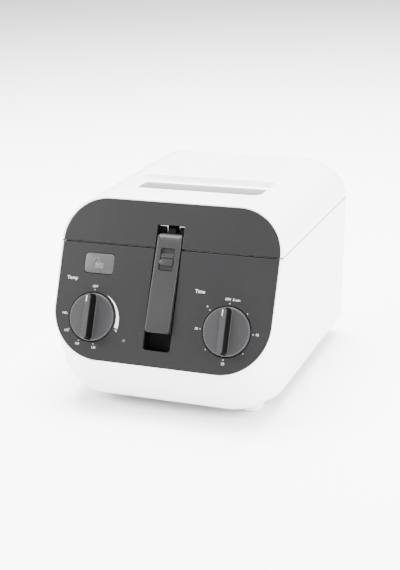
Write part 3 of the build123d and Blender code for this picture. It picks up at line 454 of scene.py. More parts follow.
NODE_MATERIALS = {
    WHITE: ("hinge_brackets", "outer_casing", "feet", "lid_shell", "filter_cover"),
    ANTHRACITE: ("control_fascia", "lid_fascia"),
    HANDLE_GREY: ("handle_grip", "handle_slider"),
    KNOB_GREY: ("temperature_knob", "timer_knob"),
    BUTTON_GREY: ("release_button",),
    # painted shade: the handle's well and the parts in it
    SHADE_BLACK: ("handle_well", "pivot_ears", "handle_back", "handle_sector"),
    SWITCH_BLACK: ("thermostat_body", "timer_body", "pilot_lamp", "thermal_cutout", "cord_gland"),
    FRAME_GREY: ("base_plate", "bowl_surround", "latch_catch", "latch_hook"),
    CERAMIC: ("terminal_block",),
    SEAL: ("lid_seal", "window_seal"),
    COATING: ("oil_bowl",),
    FELT: ("grease_filter",),
    CARBON: ("carbon_filter",),
    LENS: ("pilot_lamp_lens",),
    GLASS: ("window_glass",),
    ALUMINIUM: ("heat_shield", "lid_liner"),
    CHROME: ("basket_mesh", "basket_rim", "basket_saddle"),
    STEEL: (
        "base_screws", "fascia_screws", "handle_pin", "heating_element", "thermostat_bracket",
        "thermostat_bulb", "timer_bracket", "timer_bell", "latch_bracket", "release_spring", "hinge_pins",
        "temperature_shaft", "timer_shaft", "lift_lever", "lift_pin", "lever_bracket", "lever_pin", "lid_screws",
    ),
}


def dress_nodes():
    """Gives every CAD node its material."""
    for material, names in NODE_MATERIALS.items():
        for name in names:
            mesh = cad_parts[name].data
            mesh.materials.clear()
            mesh.materials.append(material)


# ---- The white casing ------------------------------------------------------------------------
WALL_STEPS, CORNER_STEPS = 14, 20
CHIN_STEPS, HEEL_STEPS = 9, 7


def u_outline(top_half, corner_half, rx, rz, depth, top_gap, wall=WALL_STEPS, corner=CORNER_STEPS, floor=24):
    """A U from its left top, down and up again, as (x, distance from the joint).

    Straight walls lean from top_half to corner_half, then an elliptical corner and a flat floor:
    ((|x| - corner_half + rx) / rx)^2 + ((h - depth + rz) / rz)^2 = 1 on the corner.
    """
    h = np.linspace(top_gap, depth - rz, wall + 1)
    lean = top_half + (corner_half - top_half) * (h - top_gap) / max(depth - rz - top_gap, 1e-6)
    left = np.stack([-lean, h], -1)
    turn = arc(-(corner_half - rx), depth - rz, rx, rz, 180, 90, corner)[1:]
    bottom_x = np.linspace(-(corner_half - rx), 0, floor // 2 + 1)[1:]
    bottom = np.stack([bottom_x, np.full_like(bottom_x, depth)], -1)
    half = np.concatenate([left, turn, bottom])
    mirrored = half[::-1][1:] * (-1, 1)
    return np.concatenate([half, mirrored])


LIP_ROWS = [
    (0.3, -3.4), (0.3, -0.9), (0.55, -0.25), (1.1, 0.12),
    (1.8, 0.2), (2.5, 0.0), (3.1, -0.55), (3.45, -1.4),
]


def lip_sections(drop, radius, sign, drafted):
    """The rounded rim around the fascia: its outline grown step by step, at each step's height."""
    sections = []
    for grow, n in LIP_ROWS:
        half = FASCIA_HALF + grow
        lower = half - drafted * grow / LIP
        r = radius + grow
        top_gap = GAP / COS + n * tan(radians(TILT)) * sign
        outline = u_outline(half, lower, r, r, drop + grow, top_gap)
        sections.append(on_fascia(outline[:, 0], sign * outline[:, 1], n))
    return sections


def casing_sections():
    """U-shaped sections from the lip, down the chin and along the base to the rear corners."""
    sections = lip_sections(DROP, CHIN_R, -1, 2.3)
    chin_top, heel = np.array(CHIN_TOP), np.array(HEEL)
    along = (heel - chin_top) / np.linalg.norm(heel - chin_top)
    turn = np.arccos(along[0])
    setback = HEEL_R * np.tan(turn / 2)
    straight_end = heel - along * setback
    centre = np.array([heel[0] + setback, BASE_Z + HEEL_R])
    path = [chin_top + (straight_end - chin_top) * share for share in np.linspace(0, 1, CHIN_STEPS)]
    for angle in np.linspace(0, turn, HEEL_STEPS + 1)[1:]:
        spoke = turn - angle
        path.append(centre + HEEL_R * np.array([-np.sin(spoke), -np.cos(spoke)]))
    front_end, dense_end, rear_start = path[-1][0], 40, REAR_Y - REAR_R
    for y in np.concatenate([np.linspace(front_end, dense_end, 7)[1:], np.linspace(dense_end, rear_start, 9)[1:]]):
        path.append(np.array([y, BASE_Z]))
    top_start, blend_length = 2.4, 75.0
    bottoms = np.array(path)
    travel = (bottoms[:, 0] - bottoms[0, 0]) / (rear_start - bottoms[0, 0])
    tops = top_start + (rear_start - top_start) * travel ** 0.9
    ease = np.clip((bottoms[:, 0] - CHIN_TOP[0]) / blend_length, 0, 1)
    ease = ease * ease * (3 - 2 * ease)
    for (y_low, z_low), y_top, share in zip(bottoms, tops, ease):
        depth = PART_Z - z_low
        rx = (CHIN_R + LIP) * (1 - share) + BASE_EDGE_R * share
        rz = (CHIN_R + LIP) * COS * (1 - share) + BASE_EDGE_R * share
        sections.append(section_points(y_top, y_low, depth, rx, rz, 0.0))
    return sections


def section_points(y_top, y_low, depth, rx, rz, inset):
    """One U of the casing: y = y_top + (y_low - y_top) h / depth at a distance h below the joint."""
    corner_half = HALF_W + (BASE_HALF - HALF_W) * (depth - rz) / (PART_Z - BASE_Z)
    outline = u_outline(HALF_W - inset, corner_half - inset, rx, rz, depth - inset, GAP)
    share = outline[:, 1] / (depth - inset)
    y = y_top + (y_low - y_top) * share
    return np.stack([outline[:, 0], y, PART_Z - outline[:, 1]], -1)


def rear_sections(make, count=6):
    """Sections that turn the rear corners, drawn in by REAR_R (1 - cos a) at REAR_R sin a."""
    sections = []
    for angle in np.linspace(0, pi / 2, count + 1)[1:]:
        inset = REAR_R * (1 - cos(angle))
        sections.append(make(REAR_Y - REAR_R + REAR_R * sin(angle), inset))
    return sections


def close_rear(section, middle, steps=8):
    """Copies of the last section drawn in towards a point, in its own flat plane."""
    return [middle + (section - middle) * share for share in np.linspace(1, 0, steps + 1)[1:]]


def white_casing():
    """The casing's skin, open at the floor, where the base plate closes it."""
    depth = PART_Z - BASE_Z
    sections = casing_sections()
    floor_from = len(LIP_ROWS) + CHIN_STEPS + HEEL_STEPS
    floor_to = len(sections) - 1
    sections += rear_sections(lambda y, inset: section_points(y, y, depth, BASE_EDGE_R, BASE_EDGE_R, inset))
    sections += close_rear(sections[-1], np.array([0.0, REAR_Y, PART_Z - GAP]))
    points = np.stack(sections)
    v, f = outwards(surface(points), (0, 110, 110))
    columns = points.shape[1]
    first = f.min(axis=1)
    row, column = first // columns, first % columns
    edge = WALL_STEPS + CORNER_STEPS
    open_floor = (row >= floor_from) & (row < floor_to) & (column >= edge) & (column < columns - 1 - edge)
    obj = piece("casing_skin", (v, f[~open_floor]), "base", "casing_white", WHITE, recalculate=False, sharp=50)
    thicken(obj, WALL * 0.3, 0.12)
    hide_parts("outer_casing")


# ---- The white lid ---------------------------------------------------------------------------
LID_STEPS = {"wall": 4, "corner": 26}
SHORT_WALL = 0.4  # the lid's straight wall under its shoulder
LID_LOW_FRONT, LID_LOW_END = 3.0, 38.0  # y of the arches' feet, from the rim to the cover
LID_TOP_FRONT = 24.6


def lid_height(x, y):
    """Height of the lid's top at (x, y): flat, with elliptical shoulders and a round rear edge.

    z = PART_Z + (TOP_Z - PART_Z) sqrt(1 - u^2) - REAR_TOP_R (1 - sqrt(1 - v^2)), where u runs
    from 0 to 1 over the shoulder and v over the rear edge.
    """
    over = np.clip((np.abs(x) - (FASCIA_HALF - SHOULDER_R)) / (SHOULDER_R + LIP), 0, 1)
    shoulder = PART_Z + (TOP_Z - PART_Z) * np.sqrt(np.clip(1 - over**2, 0, 1))
    back = np.clip((y - (REAR_Y - REAR_TOP_R)) / REAR_TOP_R, 0, 1)
    return shoulder - REAR_TOP_R * (1 - np.sqrt(np.clip(1 - back**2, 0, 1)))


def lid_section(y_top, y_low, height):
    """One arch of the lid: short walls, elliptical shoulders and a flat top.

    y = y_low + (y_top - y_low) h / height at a distance h above the joint.
    """
    rz = height - GAP - SHORT_WALL
    outline = u_outline(HALF_W, HALF_W, SHOULDER_R + LIP, rz, height, GAP, **LID_STEPS)
    y = y_low + (y_top - y_low) * outline[:, 1] / height
    return np.stack([outline[:, 0], y, PART_Z + outline[:, 1]], -1)


def lid_lip_sections():
    """The rim around the lid's plate, above the parting line."""
    sections = []
    for grow, n in LIP_ROWS:
        half = FASCIA_HALF + grow
        r = SHOULDER_R + grow
        top_gap = GAP / COS - n * tan(radians(TILT))
        outline = u_outline(half, half, r, r - top_gap - SHORT_WALL, RISE + grow, top_gap, **LID_STEPS)
        sections.append(on_fascia(outline[:, 0], outline[:, 1], n))
    return sections


def white_lid():
    """The lid's skin, from its rim over the top to the rear, open where the cover lies."""
    height = TOP_Z - PART_Z
    rear_start = REAR_Y - REAR_TOP_R
    sections = lid_lip_sections()
    for share in np.linspace(0, 1, 7):
        y_low = LID_LOW_FRONT + (LID_LOW_END - LID_LOW_FRONT) * share
        y_top = LID_TOP_FRONT + (COVER_FRONT - SEAM - LID_TOP_FRONT) * share
        sections.append(lid_section(y_top, y_low, height))
    cover_from = len(sections) - 1
    for share in np.linspace(0, 1, 10)[1:]:
        y_top = COVER_FRONT - SEAM + (COVER_REAR + SEAM - COVER_FRONT + SEAM) * share
        y_low = LID_LOW_END + (rear_start - LID_LOW_END) * share
        sections.append(lid_section(y_top, y_low, height))
    cover_to = len(sections) - 1
    for angle in np.linspace(20, 90, 9):
        a = radians(angle)
        drop = REAR_TOP_R * (1 - cos(a))
        y_low = REAR_Y - REAR_R + REAR_R * sin(a)
        inset = REAR_R * (1 - cos(a))
        arch = lid_section(rear_start + REAR_TOP_R * sin(a), y_low, height)
        arch[:, 0] *= 1 - inset / HALF_W
        arch[:, 2] -= drop * (arch[:, 2] - PART_Z) / height
        sections.append(arch)
    sections += close_rear(sections[-1], np.array([0.0, REAR_Y, PART_Z + GAP]))
    points = np.stack(sections)
    columns = points.shape[1]
    middle = columns // 2
    arch = points[cover_from + 1]
    edge = np.argmin(np.abs(arch[:middle, 0] + COVER_HALF + SEAM))
    points[cover_from:cover_to + 1, edge, 0] = -COVER_HALF - SEAM
    points[cover_from:cover_to + 1, columns - 1 - edge, 0] = COVER_HALF + SEAM
    seam_z = lid_height(COVER_HALF + SEAM, 0.0)
    points[cover_from:cover_to, edge, 2] = seam_z
    points[cover_from:cover_to, columns - 1 - edge, 2] = seam_z
    v, f = outwards(surface(points), (0, 130, 170))
    first = f.min(axis=1)
    row, column = first // columns, first % columns
    opening = (row >= cover_from) & (row < cover_to) & (column >= edge) & (column < columns - 1 - edge)
    obj = piece("lid_skin", (v, f[~opening]), "lid", "casing_white", WHITE, recalculate=False, sharp=50)
    thicken(obj, WALL, 0.12)
    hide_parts("lid_shell")


def cover_panel():
    """The flush filter cover: a framed window recess and the plain fields round the dimpled field, which grille_field
    makes.
    """
    half, front, rear = COVER_HALF, COVER_FRONT, COVER_REAR
    split = (WINDOW_REAR + GRILLE_FRONT) / 2
    window_y, window_h = (WINDOW_FRONT + WINDOW_REAR) / 2, WINDOW_REAR - WINDOW_FRONT
    frame_w = 1.5
    outer = rounded_rect(0, (front + split) / 2, 2 * half, split - front, 1.5, 10, 24)
    rings = []
    for share in np.linspace(0, 1, 9):
        size = (2 * (WINDOW_HALF + frame_w), window_h + 2 * frame_w, WINDOW_R + frame_w)
        inner = rounded_rect(0, window_y, *size, 10, 24)
        ring = outer + (inner - outer) * share
        rings.append(np.column_stack([ring, lid_height(ring[:, 0], ring[:, 1])]))
    edge_z = lid_height(np.array([WINDOW_HALF]), np.array([90.0]))[0]
    to_glass = GLASS_Z - edge_z
    walls = [(0.75, -0.25), (0.2, -0.8), (-0.3, -1.8), (-2.3, -5.0), (-4.3, to_glass + 0.5), (-6.0, to_glass + 0.1)]
    for grow, fall in walls:
        size = (2 * (WINDOW_HALF + grow), window_h + 2 * grow, WINDOW_R + grow)
        ring = rounded_rect(0, window_y, *size, 10, 24)
        level = np.minimum(lid_height(ring[:, 0], ring[:, 1]), edge_z + 0.6 * (grow > 0.5)) + fall
        rings.append(np.column_stack([ring, level]))
    fields = [surface(np.stack(rings), closed=True)]

    def field(xs, ys):
        x, y = np.meshgrid(xs, ys)
        return surface(np.stack([x, y, lid_height(x, y)], -1))

    side_x = np.linspace(GRILLE_HALF, half, 9)
    grille_y = np.linspace(GRILLE_FRONT, GRILLE_REAR, 12)
    fields.append(field(np.linspace(-half, half, 60), np.linspace(split, GRILLE_FRONT, 6)))
    fields.append(field(np.linspace(-half, half, 60), np.linspace(GRILLE_REAR, rear, 8)))
    fields.append(field(side_x, grille_y))
    fields.append(field(-side_x[::-1], grille_y))
    v, f = joined(*fields)
    v, f = outwards((v, np.asarray(f)), (0, 150, 100))
    obj = piece("filter_cover_skin", (v, f), "cover", "casing_white", WHITE, recalculate=False, sharp=50)
    thicken(obj, 2.2, 0.25)
    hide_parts("filter_cover")


def grille_field():
    """The perforated field: a height field with a round dimple at each place of a staggered grid.

    z = lid_height(x, y) - depth e^2 (3 - 2 e), e = (radius - distance) / edge clipped to 0 and 1.
    """
    radius, edge, depth = 1.75, 0.55, 2.2
    across = 2 * GRILLE_HALF / HOLES_ACROSS
    along = (GRILLE_REAR - GRILLE_FRONT) / HOLES_ALONG
    x, y = np.meshgrid(
        np.linspace(-GRILLE_HALF, GRILLE_HALF, HOLES_ACROSS * 10 + 1),
        np.linspace(GRILLE_FRONT, GRILLE_REAR, HOLES_ALONG * 9 + 1),
    )
    row = np.floor((y - GRILLE_FRONT) / along)
    stagger = 0.5 * (row % 2)
    u = ((x + GRILLE_HALF) / across + stagger) % 1.0 - 0.5
    v = ((y - GRILLE_FRONT) / along) % 1.0 - 0.5
    distance = np.hypot(u * across, v * along)
    inside = np.abs(x) < GRILLE_HALF - across * 0.55
    dent = np.clip((radius - distance) / edge, 0, 1)
    dent = dent * dent * (3 - 2 * dent) * depth * inside
    z = lid_height(x, y) - dent
    geometry = outwards(surface(np.stack([x, y, z], -1)), (0, 190, 100))
    piece("grille_field", geometry, "cover", "casing_white", GRILLE_WHITE, recalculate=False, sharp=60)


def lid_inside():
    """The lid's inner deck with its window and filter openings, and the hinge knuckles."""
    outer = rounded_rect(0, 146, 226, 244, 26)
    window = rounded_rect(0, 98.8, 2 * (WINDOW_HALF - 12), 48.3, WINDOW_R)
    vent = rounded_rect(0, 198, 2 * (GRILLE_HALF - 10), 84, 8)
    deck_z, deck_t = 220.2, 2.5
    deck = flat_plate("lid_deck", outer, [window, vent], deck_t, 0.4)
    deck.data.transform(Matrix.Translation(Vector(to_row([0, 0, deck_z])[0])))
    finish_piece(deck, "lid", "casing_white", WHITE)
    low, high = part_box("hinge_pins")
    axis_y, axis_z = (low.y + high.y) / 2 / MM - SHIFT, (low.z + high.z) / 2 / MM
    knuckle_x, parts = 60, []
    for side in (-1, 1):
        xs = knuckle_x * side + np.array([-3.7, -3.4, 3.4, 3.7])
        radii = np.array([3.6, 4.0, 4.0, 3.6])
        angle = np.linspace(0, 2 * pi, 32, endpoint=False)
        rings = np.stack(
            [
                xs[:, None] + 0 * angle,
                axis_y + radii[:, None] * np.cos(angle),
                axis_z + radii[:, None] * np.sin(angle),
            ],
            -1,
        )
        parts.append(ring_stack(rings))
    piece("lid_knuckles", joined(*parts), "lid", "casing_white", WHITE)


# ---- Fascia plates ---------------------------------------------------------------------------
def flat_plate(name, outline, holes, thickness, bevel):
    """A flat plate with holes and softened edges, centred on z = 0, in row metres."""
    curve = bpy.data.curves.new(name, "CURVE")
    curve.dimensions = "2D"
    curve.fill_mode = "BOTH"
    curve.extrude = (thickness / 2 - bevel) * MM
    curve.bevel_depth = bevel * MM
    curve.bevel_resolution = 2
    curve.offset = -bevel * MM
    for loop in [outline, *holes]:
        spline = curve.splines.new("POLY")
        spline.points.add(len(loop) - 1)
        flat = np.column_stack([loop * MM, np.zeros(len(loop)), np.ones(len(loop))])
        spline.points.foreach_set("co", flat.ravel())
        spline.use_cyclic_u = True
    holder = bpy.data.objects.new(name + "_curve", curve)
    mesh = bpy.data.meshes.new_from_object(holder)
    bpy.data.objects.remove(holder)
    mesh.name = name
    obj = bpy.data.objects.new(name, mesh)
    bpy.context.scene.collection.objects.link(obj)
    return obj


def fascia_matrix(s, t, n):
    """Places a flat shape on the fascia with its middle at (s, t, n)."""
    x, y, z = to_row(on_fascia(s, t, n))[0]
    return Matrix(((1, 0, 0, x), (0, SIN, -COS, y), (0, COS, SIN, z), (0, 0, 0, 1)))


def fascia_plates():
    """The two anthracite plates, notched for the handle's well, below and above the parting line."""
    low_r, top_r = 3.0, 1.5  # corners of the well
    sunk = fascia_matrix(0, 0, -PLATE_T / 2)
    lower = np.concatenate(
        [
            arc(-(FASCIA_HALF - CHIN_R), -(DROP - CHIN_R), CHIN_R, CHIN_R, 180, 270, 32),
            arc(FASCIA_HALF - CHIN_R, -(DROP - CHIN_R), CHIN_R, CHIN_R, 270, 360, 32),
            [[FASCIA_HALF, -JOINT], [WELL_HALF, -JOINT]],
            arc(WELL_HALF - low_r, WELL_BOTTOM + low_r, low_r, low_r, 0, -90, 6),
            arc(-WELL_HALF + low_r, WELL_BOTTOM + low_r, low_r, low_r, -90, -180, 6),
            [[-WELL_HALF, -JOINT], [-FASCIA_HALF, -JOINT]],
        ]
    )
    cup_r = KNOB_R + KNOB_GAP
    holes = [arc(*at, cup_r, cup_r, 0, 360, 72)[:-1] for at in (TEMPERATURE_AT, TIMER_AT)]
    play = 1.2
    holes.append(rounded_rect(*BUTTON_AT, BUTTON_SIZE[0] + play, BUTTON_SIZE[1] + play, 4.8))
    holes.append(arc(*LAMP_AT, LAMP_R, LAMP_R, 0, 360, 24)[:-1])
    plate = flat_plate("control_fascia_plate", lower, holes, PLATE_T, PLATE_EDGE)
    plate.data.transform(sunk)
    finish_piece(plate, "base", "fascia_anthracite", ANTHRACITE, sharp=8)
    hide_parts("control_fascia")
    upper = np.concatenate(
        [
            [[-FASCIA_HALF, JOINT], [-WELL_HALF, JOINT]],
            arc(-WELL_HALF + top_r, WELL_TOP - top_r, top_r, top_r, 180, 90, 5),
            arc(WELL_HALF - top_r, WELL_TOP - top_r, top_r, top_r, 90, 0, 5),
            [[WELL_HALF, JOINT], [FASCIA_HALF, JOINT]],
            arc(FASCIA_HALF - SHOULDER_R, RISE - SHOULDER_R, SHOULDER_R, SHOULDER_R, 1.5, 90, 32),
            arc(-FASCIA_HALF + SHOULDER_R, RISE - SHOULDER_R, SHOULDER_R, SHOULDER_R, 90, 178.5, 32),
        ]
    )
    lid_plate = flat_plate("lid_fascia_plate", upper, [], PLATE_T, PLATE_EDGE)
    lid_plate.data.transform(sunk)
    finish_piece(lid_plate, "lid", "fascia_anthracite", ANTHRACITE, sharp=8)
    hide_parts("lid_fascia")
    # painted shade: the cups round the knobs are near-black for the shade crescent round each disc
    bore, wall, floor, back = 3.3, 1.5, -8.0, -9.5
    profile = [(bore, back), (cup_r + wall, back), (cup_r + wall, -3.0), (cup_r, -2.9)]
    profile += [(cup_r, floor), (bore, floor), (bore, back)]
    cups = [surface(lathe(at, profile), closed=True) for at in (TEMPERATURE_AT, TIMER_AT)]
    piece("knob_cups", joined(*cups), "base", "well_black", SHADE_BLACK)


def shadow_gap():
    """Painted shade: a near-black band just inside the joint line, near-black strips behind the fascia's
    joint, and a near-black pocket behind the lid's notch stand in for the shade in these gaps.

    The band follows the plan of the side walls and the rear, round at its corners.
    """
    side_inset, rear_inset, thickness = 0.5, 0.9, 0.8
    side, rear, r = HALF_W - side_inset, REAR_Y - rear_inset, REAR_R - rear_inset
    front, band_low, band_high = 3.0, 182.4, 184.6
    path = np.concatenate(
        [
            [[side, front], [side, 90.0], [side, 180.0]],
            arc(side - r, rear - r, r, r, 0, 90, 10),
            arc(-side + r, rear - r, r, r, 90, 180, 10),
            [[-side, 180.0], [-side, 90.0], [-side, front]],
        ]
    )
    centre = np.array([0.0, (front + rear) / 2])
    inner = centre + (path - centre) * (1 - thickness / side)
    loops = [(path, band_low), (path, band_high), (inner, band_high), (inner, band_low), (path, band_low)]
    rows = [np.column_stack([xy, np.full(len(xy), z)]) for xy, z in loops]
    v, f = surface(np.stack(rows))
    count = len(path)
    caps = [[row * count + end for row in range(4)] for end in (0, count - 1)]
    # painted shade: the band hides the light behind the joint line
    piece("shadow_gap_band", (v, f.tolist() + caps), "base", "well_black", SHADE_BLACK)
    # painted shade: near-black strips behind the fascia's joint
    strip_end = 127.5
    spans = ((-strip_end, -WELL_HALF), (WELL_HALF, strip_end))
    strips = [slab(s0, s1, -4.0, 0.4, -4.4, -3.1) for s0, s1 in spans]
    piece("fascia_gap_strips", joined(*strips), "base", "well_black", SHADE_BLACK)
    # painted shade: the near-black walls of the pocket behind the lid's notch
    wall, half, low = 1.0, WELL_HALF, JOINT + 8.2
    outside, top = half + wall, WELL_TOP + wall
    walls = [slab(s0, s1, low, top, WELL_BACK, -PLATE_T) for s0, s1 in ((-outside, -half), (half, outside))]
    walls.append(slab(-half, half, WELL_TOP, top, WELL_BACK, -PLATE_T))
    for s0, s1 in ((-outside, -SLOT_HALF), (SLOT_HALF, outside)):
        walls.append(slab(s0, s1, low, top, WELL_BACK - wall, WELL_BACK))
    for s0, s1 in ((-half, -SLOT_HALF), (SLOT_HALF, half)):
        walls.append(slab(s0, s1, 17.5, 26.0, -9.2, -8.8))
    piece("lid_notch_pocket", joined(*walls), "lid", "well_black", SHADE_BLACK)


def slab(s0, s1, t0, t1, n0, n1):
    """A plain wall of a pocket, between two corners in fascia coordinates."""
    s = np.array([s0, s1, s1, s0])
    t = np.array([t0, t0, t1, t1])
    return ring_stack(np.stack([on_fascia(s, t, n0), on_fascia(s, t, n1)]))


# ---- Controls --------------------------------------------------------------------------------
def flat_stack(at, sizes, steps=8, side=6, cap_first=True):
    """Rounded rectangles on the fascia, one for each (width, height, radius, n), skinned in order."""
    rings = []
    for w, h, r, n in sizes:
        ring = rounded_rect(at[0], at[1], w, h, r, steps, side)
        rings.append(on_fascia(ring[:, 0], ring[:, 1], n))
    return ring_stack(np.stack(rings), cap_first)


def make_knob(name, at, body, node_name):
    """A disc with a grip bar and a pointer line; the bar's right-hand side faces are painted near-black as shade."""
    r = KNOB_R
    disc = [(0.01, -6), (r - 0.6, -6), (r, -5.4), (r, 0.2), (r - 0.15, 0.75), (r - 0.6, 1.25), (r - 1.3, 1.5)]
    disc += [(r - 2.4, 1.5), (r - 8, 1.42), (8, 1.4), (0.01, 1.4)]
    v, f = surface(lathe(at, disc, 96), closed=True)
    rows = [(2.2, 0.9), (1.0, 1.5), (0.35, 2.6), (0.0, 5.0), (-0.5, 12.5), (-0.75, 14.6), (-1.3, 15.8), (-2.3, 16.4)]
    sizes = [(GRIP_W + grow, GRIP_LENGTH + grow, (GRIP_W + grow) / 2, n) for grow, n in rows]
    bar = flat_stack(at, sizes, 12, 8, cap_first=False)
    obj = piece(name, joined((v, f), bar), body, "handle_grey", KNOB_GREY, GRIP_SIDE_SHADE)
    normals = np.zeros(len(obj.data.polygons) * 3)
    centres = np.zeros(len(obj.data.polygons) * 3)
    obj.data.polygons.foreach_get("normal", normals)
    obj.data.polygons.foreach_get("center", centres)
    normals, centres = normals.reshape(-1, 3), centres.reshape(-1, 3)
    axis = np.array([0, -COS, SIN])
    out = normals @ axis
    height = (centres / MM - (0, SHIFT, 0) - on_fascia(*at, 0)) @ axis
    # painted shade: faces on the bar's right-hand side get the near-black second material
    dark = (np.abs(out) < 0.75) & (height > 2.2) & (normals[:, 0] > 0.2)
    obj.data.polygons.foreach_set("material_index", dark.astype(np.int32))
    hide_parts(node_name)
    mark = flat_stack((at[0] - 1.2, at[1] + 19.5), [(0.9, 7.0, 0.4, n) for n in (16.35, 16.55)])
    piece(name + "_pointer", mark, body, "handle_grey", PRINT)


def make_button():
    """The release button and its raised sign, an open padlock."""
    w, h = BUTTON_SIZE
    rows = [(w - 1, h - 1, 4, -5), (w, h, 4.2, -4.5), (w, h, 4.2, 0.2)]
    rows += [(w - 0.4, h - 0.4, 4.1, 0.6), (w - 1.2, h - 1.2, 3.7, 0.8)]
    obj = piece("release_button_cap", flat_stack(BUTTON_AT, rows), "release", "button_grey", BUTTON_GREY)
    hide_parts("release_button")
    s, t = BUTTON_AT
    body = flat_stack((s + 0.6, t - 2.6), [(10.0, 6.2, 0.8, 0.75), (10.0, 6.2, 0.8, 1.05), (9.6, 5.8, 0.7, 1.2)])
    swing = np.linspace(0, pi, 15)
    bow = np.stack([s - 3.2 + 3.4 * np.cos(swing), t + 2.6 + 3.4 * np.sin(swing)], -1)
    legs = np.array([[s + 0.2, t + 0.3], [s + 0.2, t + 1.5]])
    path = np.concatenate([legs, bow, [[s - 6.6, t + 1.2]]])
    shackle = tube(on_fascia(path[:, 0], path[:, 1], 0.85), 0.6, 8)
    piece("padlock_sign", joined(body, shackle), "release", "button_grey", SIGN_GREY)


def handle_face(t):
    """Height of the handle's face above the fascia: flush at the pivot, proud at its end.

    n = HANDLE_PROUD (PIVOT_T - t) / (PIVOT_T - HANDLE_END), clipped to 0 and HANDLE_PROUD.
    """
    return HANDLE_PROUD * np.clip((PIVOT_T - t) / (PIVOT_T - HANDLE_END), 0, 1)


def make_handle():
    """The handle as one skin: slot floor, slot wall, face, edge, sides and back."""
    centre_t = (HANDLE_TOP + HANDLE_END) / 2
    w, h = 2 * HANDLE_HALF, HANDLE_TOP - HANDLE_END
    slot_t, slot_w, slot_h = -12.1, 16.8, 25.2
    slot = [(0.0, -2.9), (0.0, -0.4), (0.5, 0.0)]
    rings = []
    for grow, n in slot:
        ring = rounded_rect(0, slot_t, slot_w + grow, slot_h + grow, 2.0 + grow / 2, 6, 16)
        rings.append((ring, n))
    for share in (0.33, 0.66, 1.0):
        inner = rounded_rect(0, slot_t, slot_w + 0.5, slot_h + 0.5, 2.2, 6, 16)
        outer = rounded_rect(0, centre_t, w - 2.4, h - 2.4, 2.8, 6, 16)
        rings.append((inner + (outer - inner) * share, 0.0))
    for grow, n in ((-1.1, -0.12), (-0.35, -0.5), (0.0, -1.2), (0.0, -9.2), (-0.6, -10.0), (-2.0, -10.4)):
        rings.append((rounded_rect(0, centre_t, w + grow, h + grow, 4.0 + grow / 2, 6, 16), n))
    stack = []
    for ring, n in rings:
        level = handle_face(ring[:, 1]) + n
        over = np.clip((ring[:, 1] - PIVOT_T) / 7.0, 0, 1)
        level = level - 7.0 * (1 - np.sqrt(1 - over**2 * 0.98)) * (n > -5)
        stack.append(on_fascia(ring[:, 0], ring[:, 1], level))
    obj = piece("handle_body", ring_stack(np.stack(stack)), "handle", "handle_grey", HANDLE_GREY)
    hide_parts("handle_grip")
    slide = handle_face(-12.0)
    plate_w, plate_h, plate_t = 15.6, 18.4, -15.2
    base = [(plate_w, plate_h, 1.5, slide + n) for n in (-2.8, -1.2)]
    base.append((plate_w - 0.6, plate_h - 0.6, 1.3, slide - 0.9))
    ridge_at = (0, -15.4)
    ridge = [(16.2, 6.6, 3.2, slide - 1.1), (16.2, 6.6, 3.2, slide + 0.7)]
    ridge += [(15.6, 6.0, 2.9, slide + 1.3), (14.2, 4.6, 2.2, slide + 1.6)]
    thumb = [(14.6, 1.2, 0.5, slide - 1.0), (14.6, 1.2, 0.5, slide - 0.3), (14.2, 0.8, 0.3, slide - 0.1)]
    parts = [flat_stack((0, plate_t), base), flat_stack(ridge_at, ridge)]
    parts += [flat_stack((0, step), thumb) for step in (-21.5, -23.2, -9.4)]
    slider = piece("lock_slider", joined(*parts), "slider", "handle_grey", HANDLE_GREY)
    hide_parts("handle_slider")


# ---- Printed marks ---------------------------------------------------------------------------
def dot_mark(s, t, r):
    """A flat round dot."""
    ring = arc(s, t, r, r, 0, 360, 14)[:-1]
    return on_fascia(ring[:, 0], ring[:, 1], PRINT_N), [list(range(len(ring)))]


def label(text, s, t, size):
    """A printed word or number, centred at (s, t), as a flat mesh in the working frame."""
    curve = bpy.data.curves.new("label", "FONT")
    curve.body = text
    curve.size = size
    curve.align_x = "CENTER"
    curve.align_y = "CENTER"
    holder = bpy.data.objects.new("label", curve)
    mesh = bpy.data.meshes.new_from_object(holder)
    bpy.data.objects.remove(holder)
    flat = np.zeros(len(mesh.vertices) * 3)
    mesh.vertices.foreach_get("co", flat)
    flat = flat.reshape(-1, 3)
    faces = [list(p.vertices) for p in mesh.polygons]
    bpy.data.meshes.remove(mesh)
    return on_fascia(flat[:, 0] + s, flat[:, 1] + t, PRINT_N), faces


def around(at, angle, radius):
    """The point at an angle in degrees, clockwise from the top, about a dial."""
    return at[0] + radius * sin(radians(angle)), at[1] + radius * cos(radians(angle))


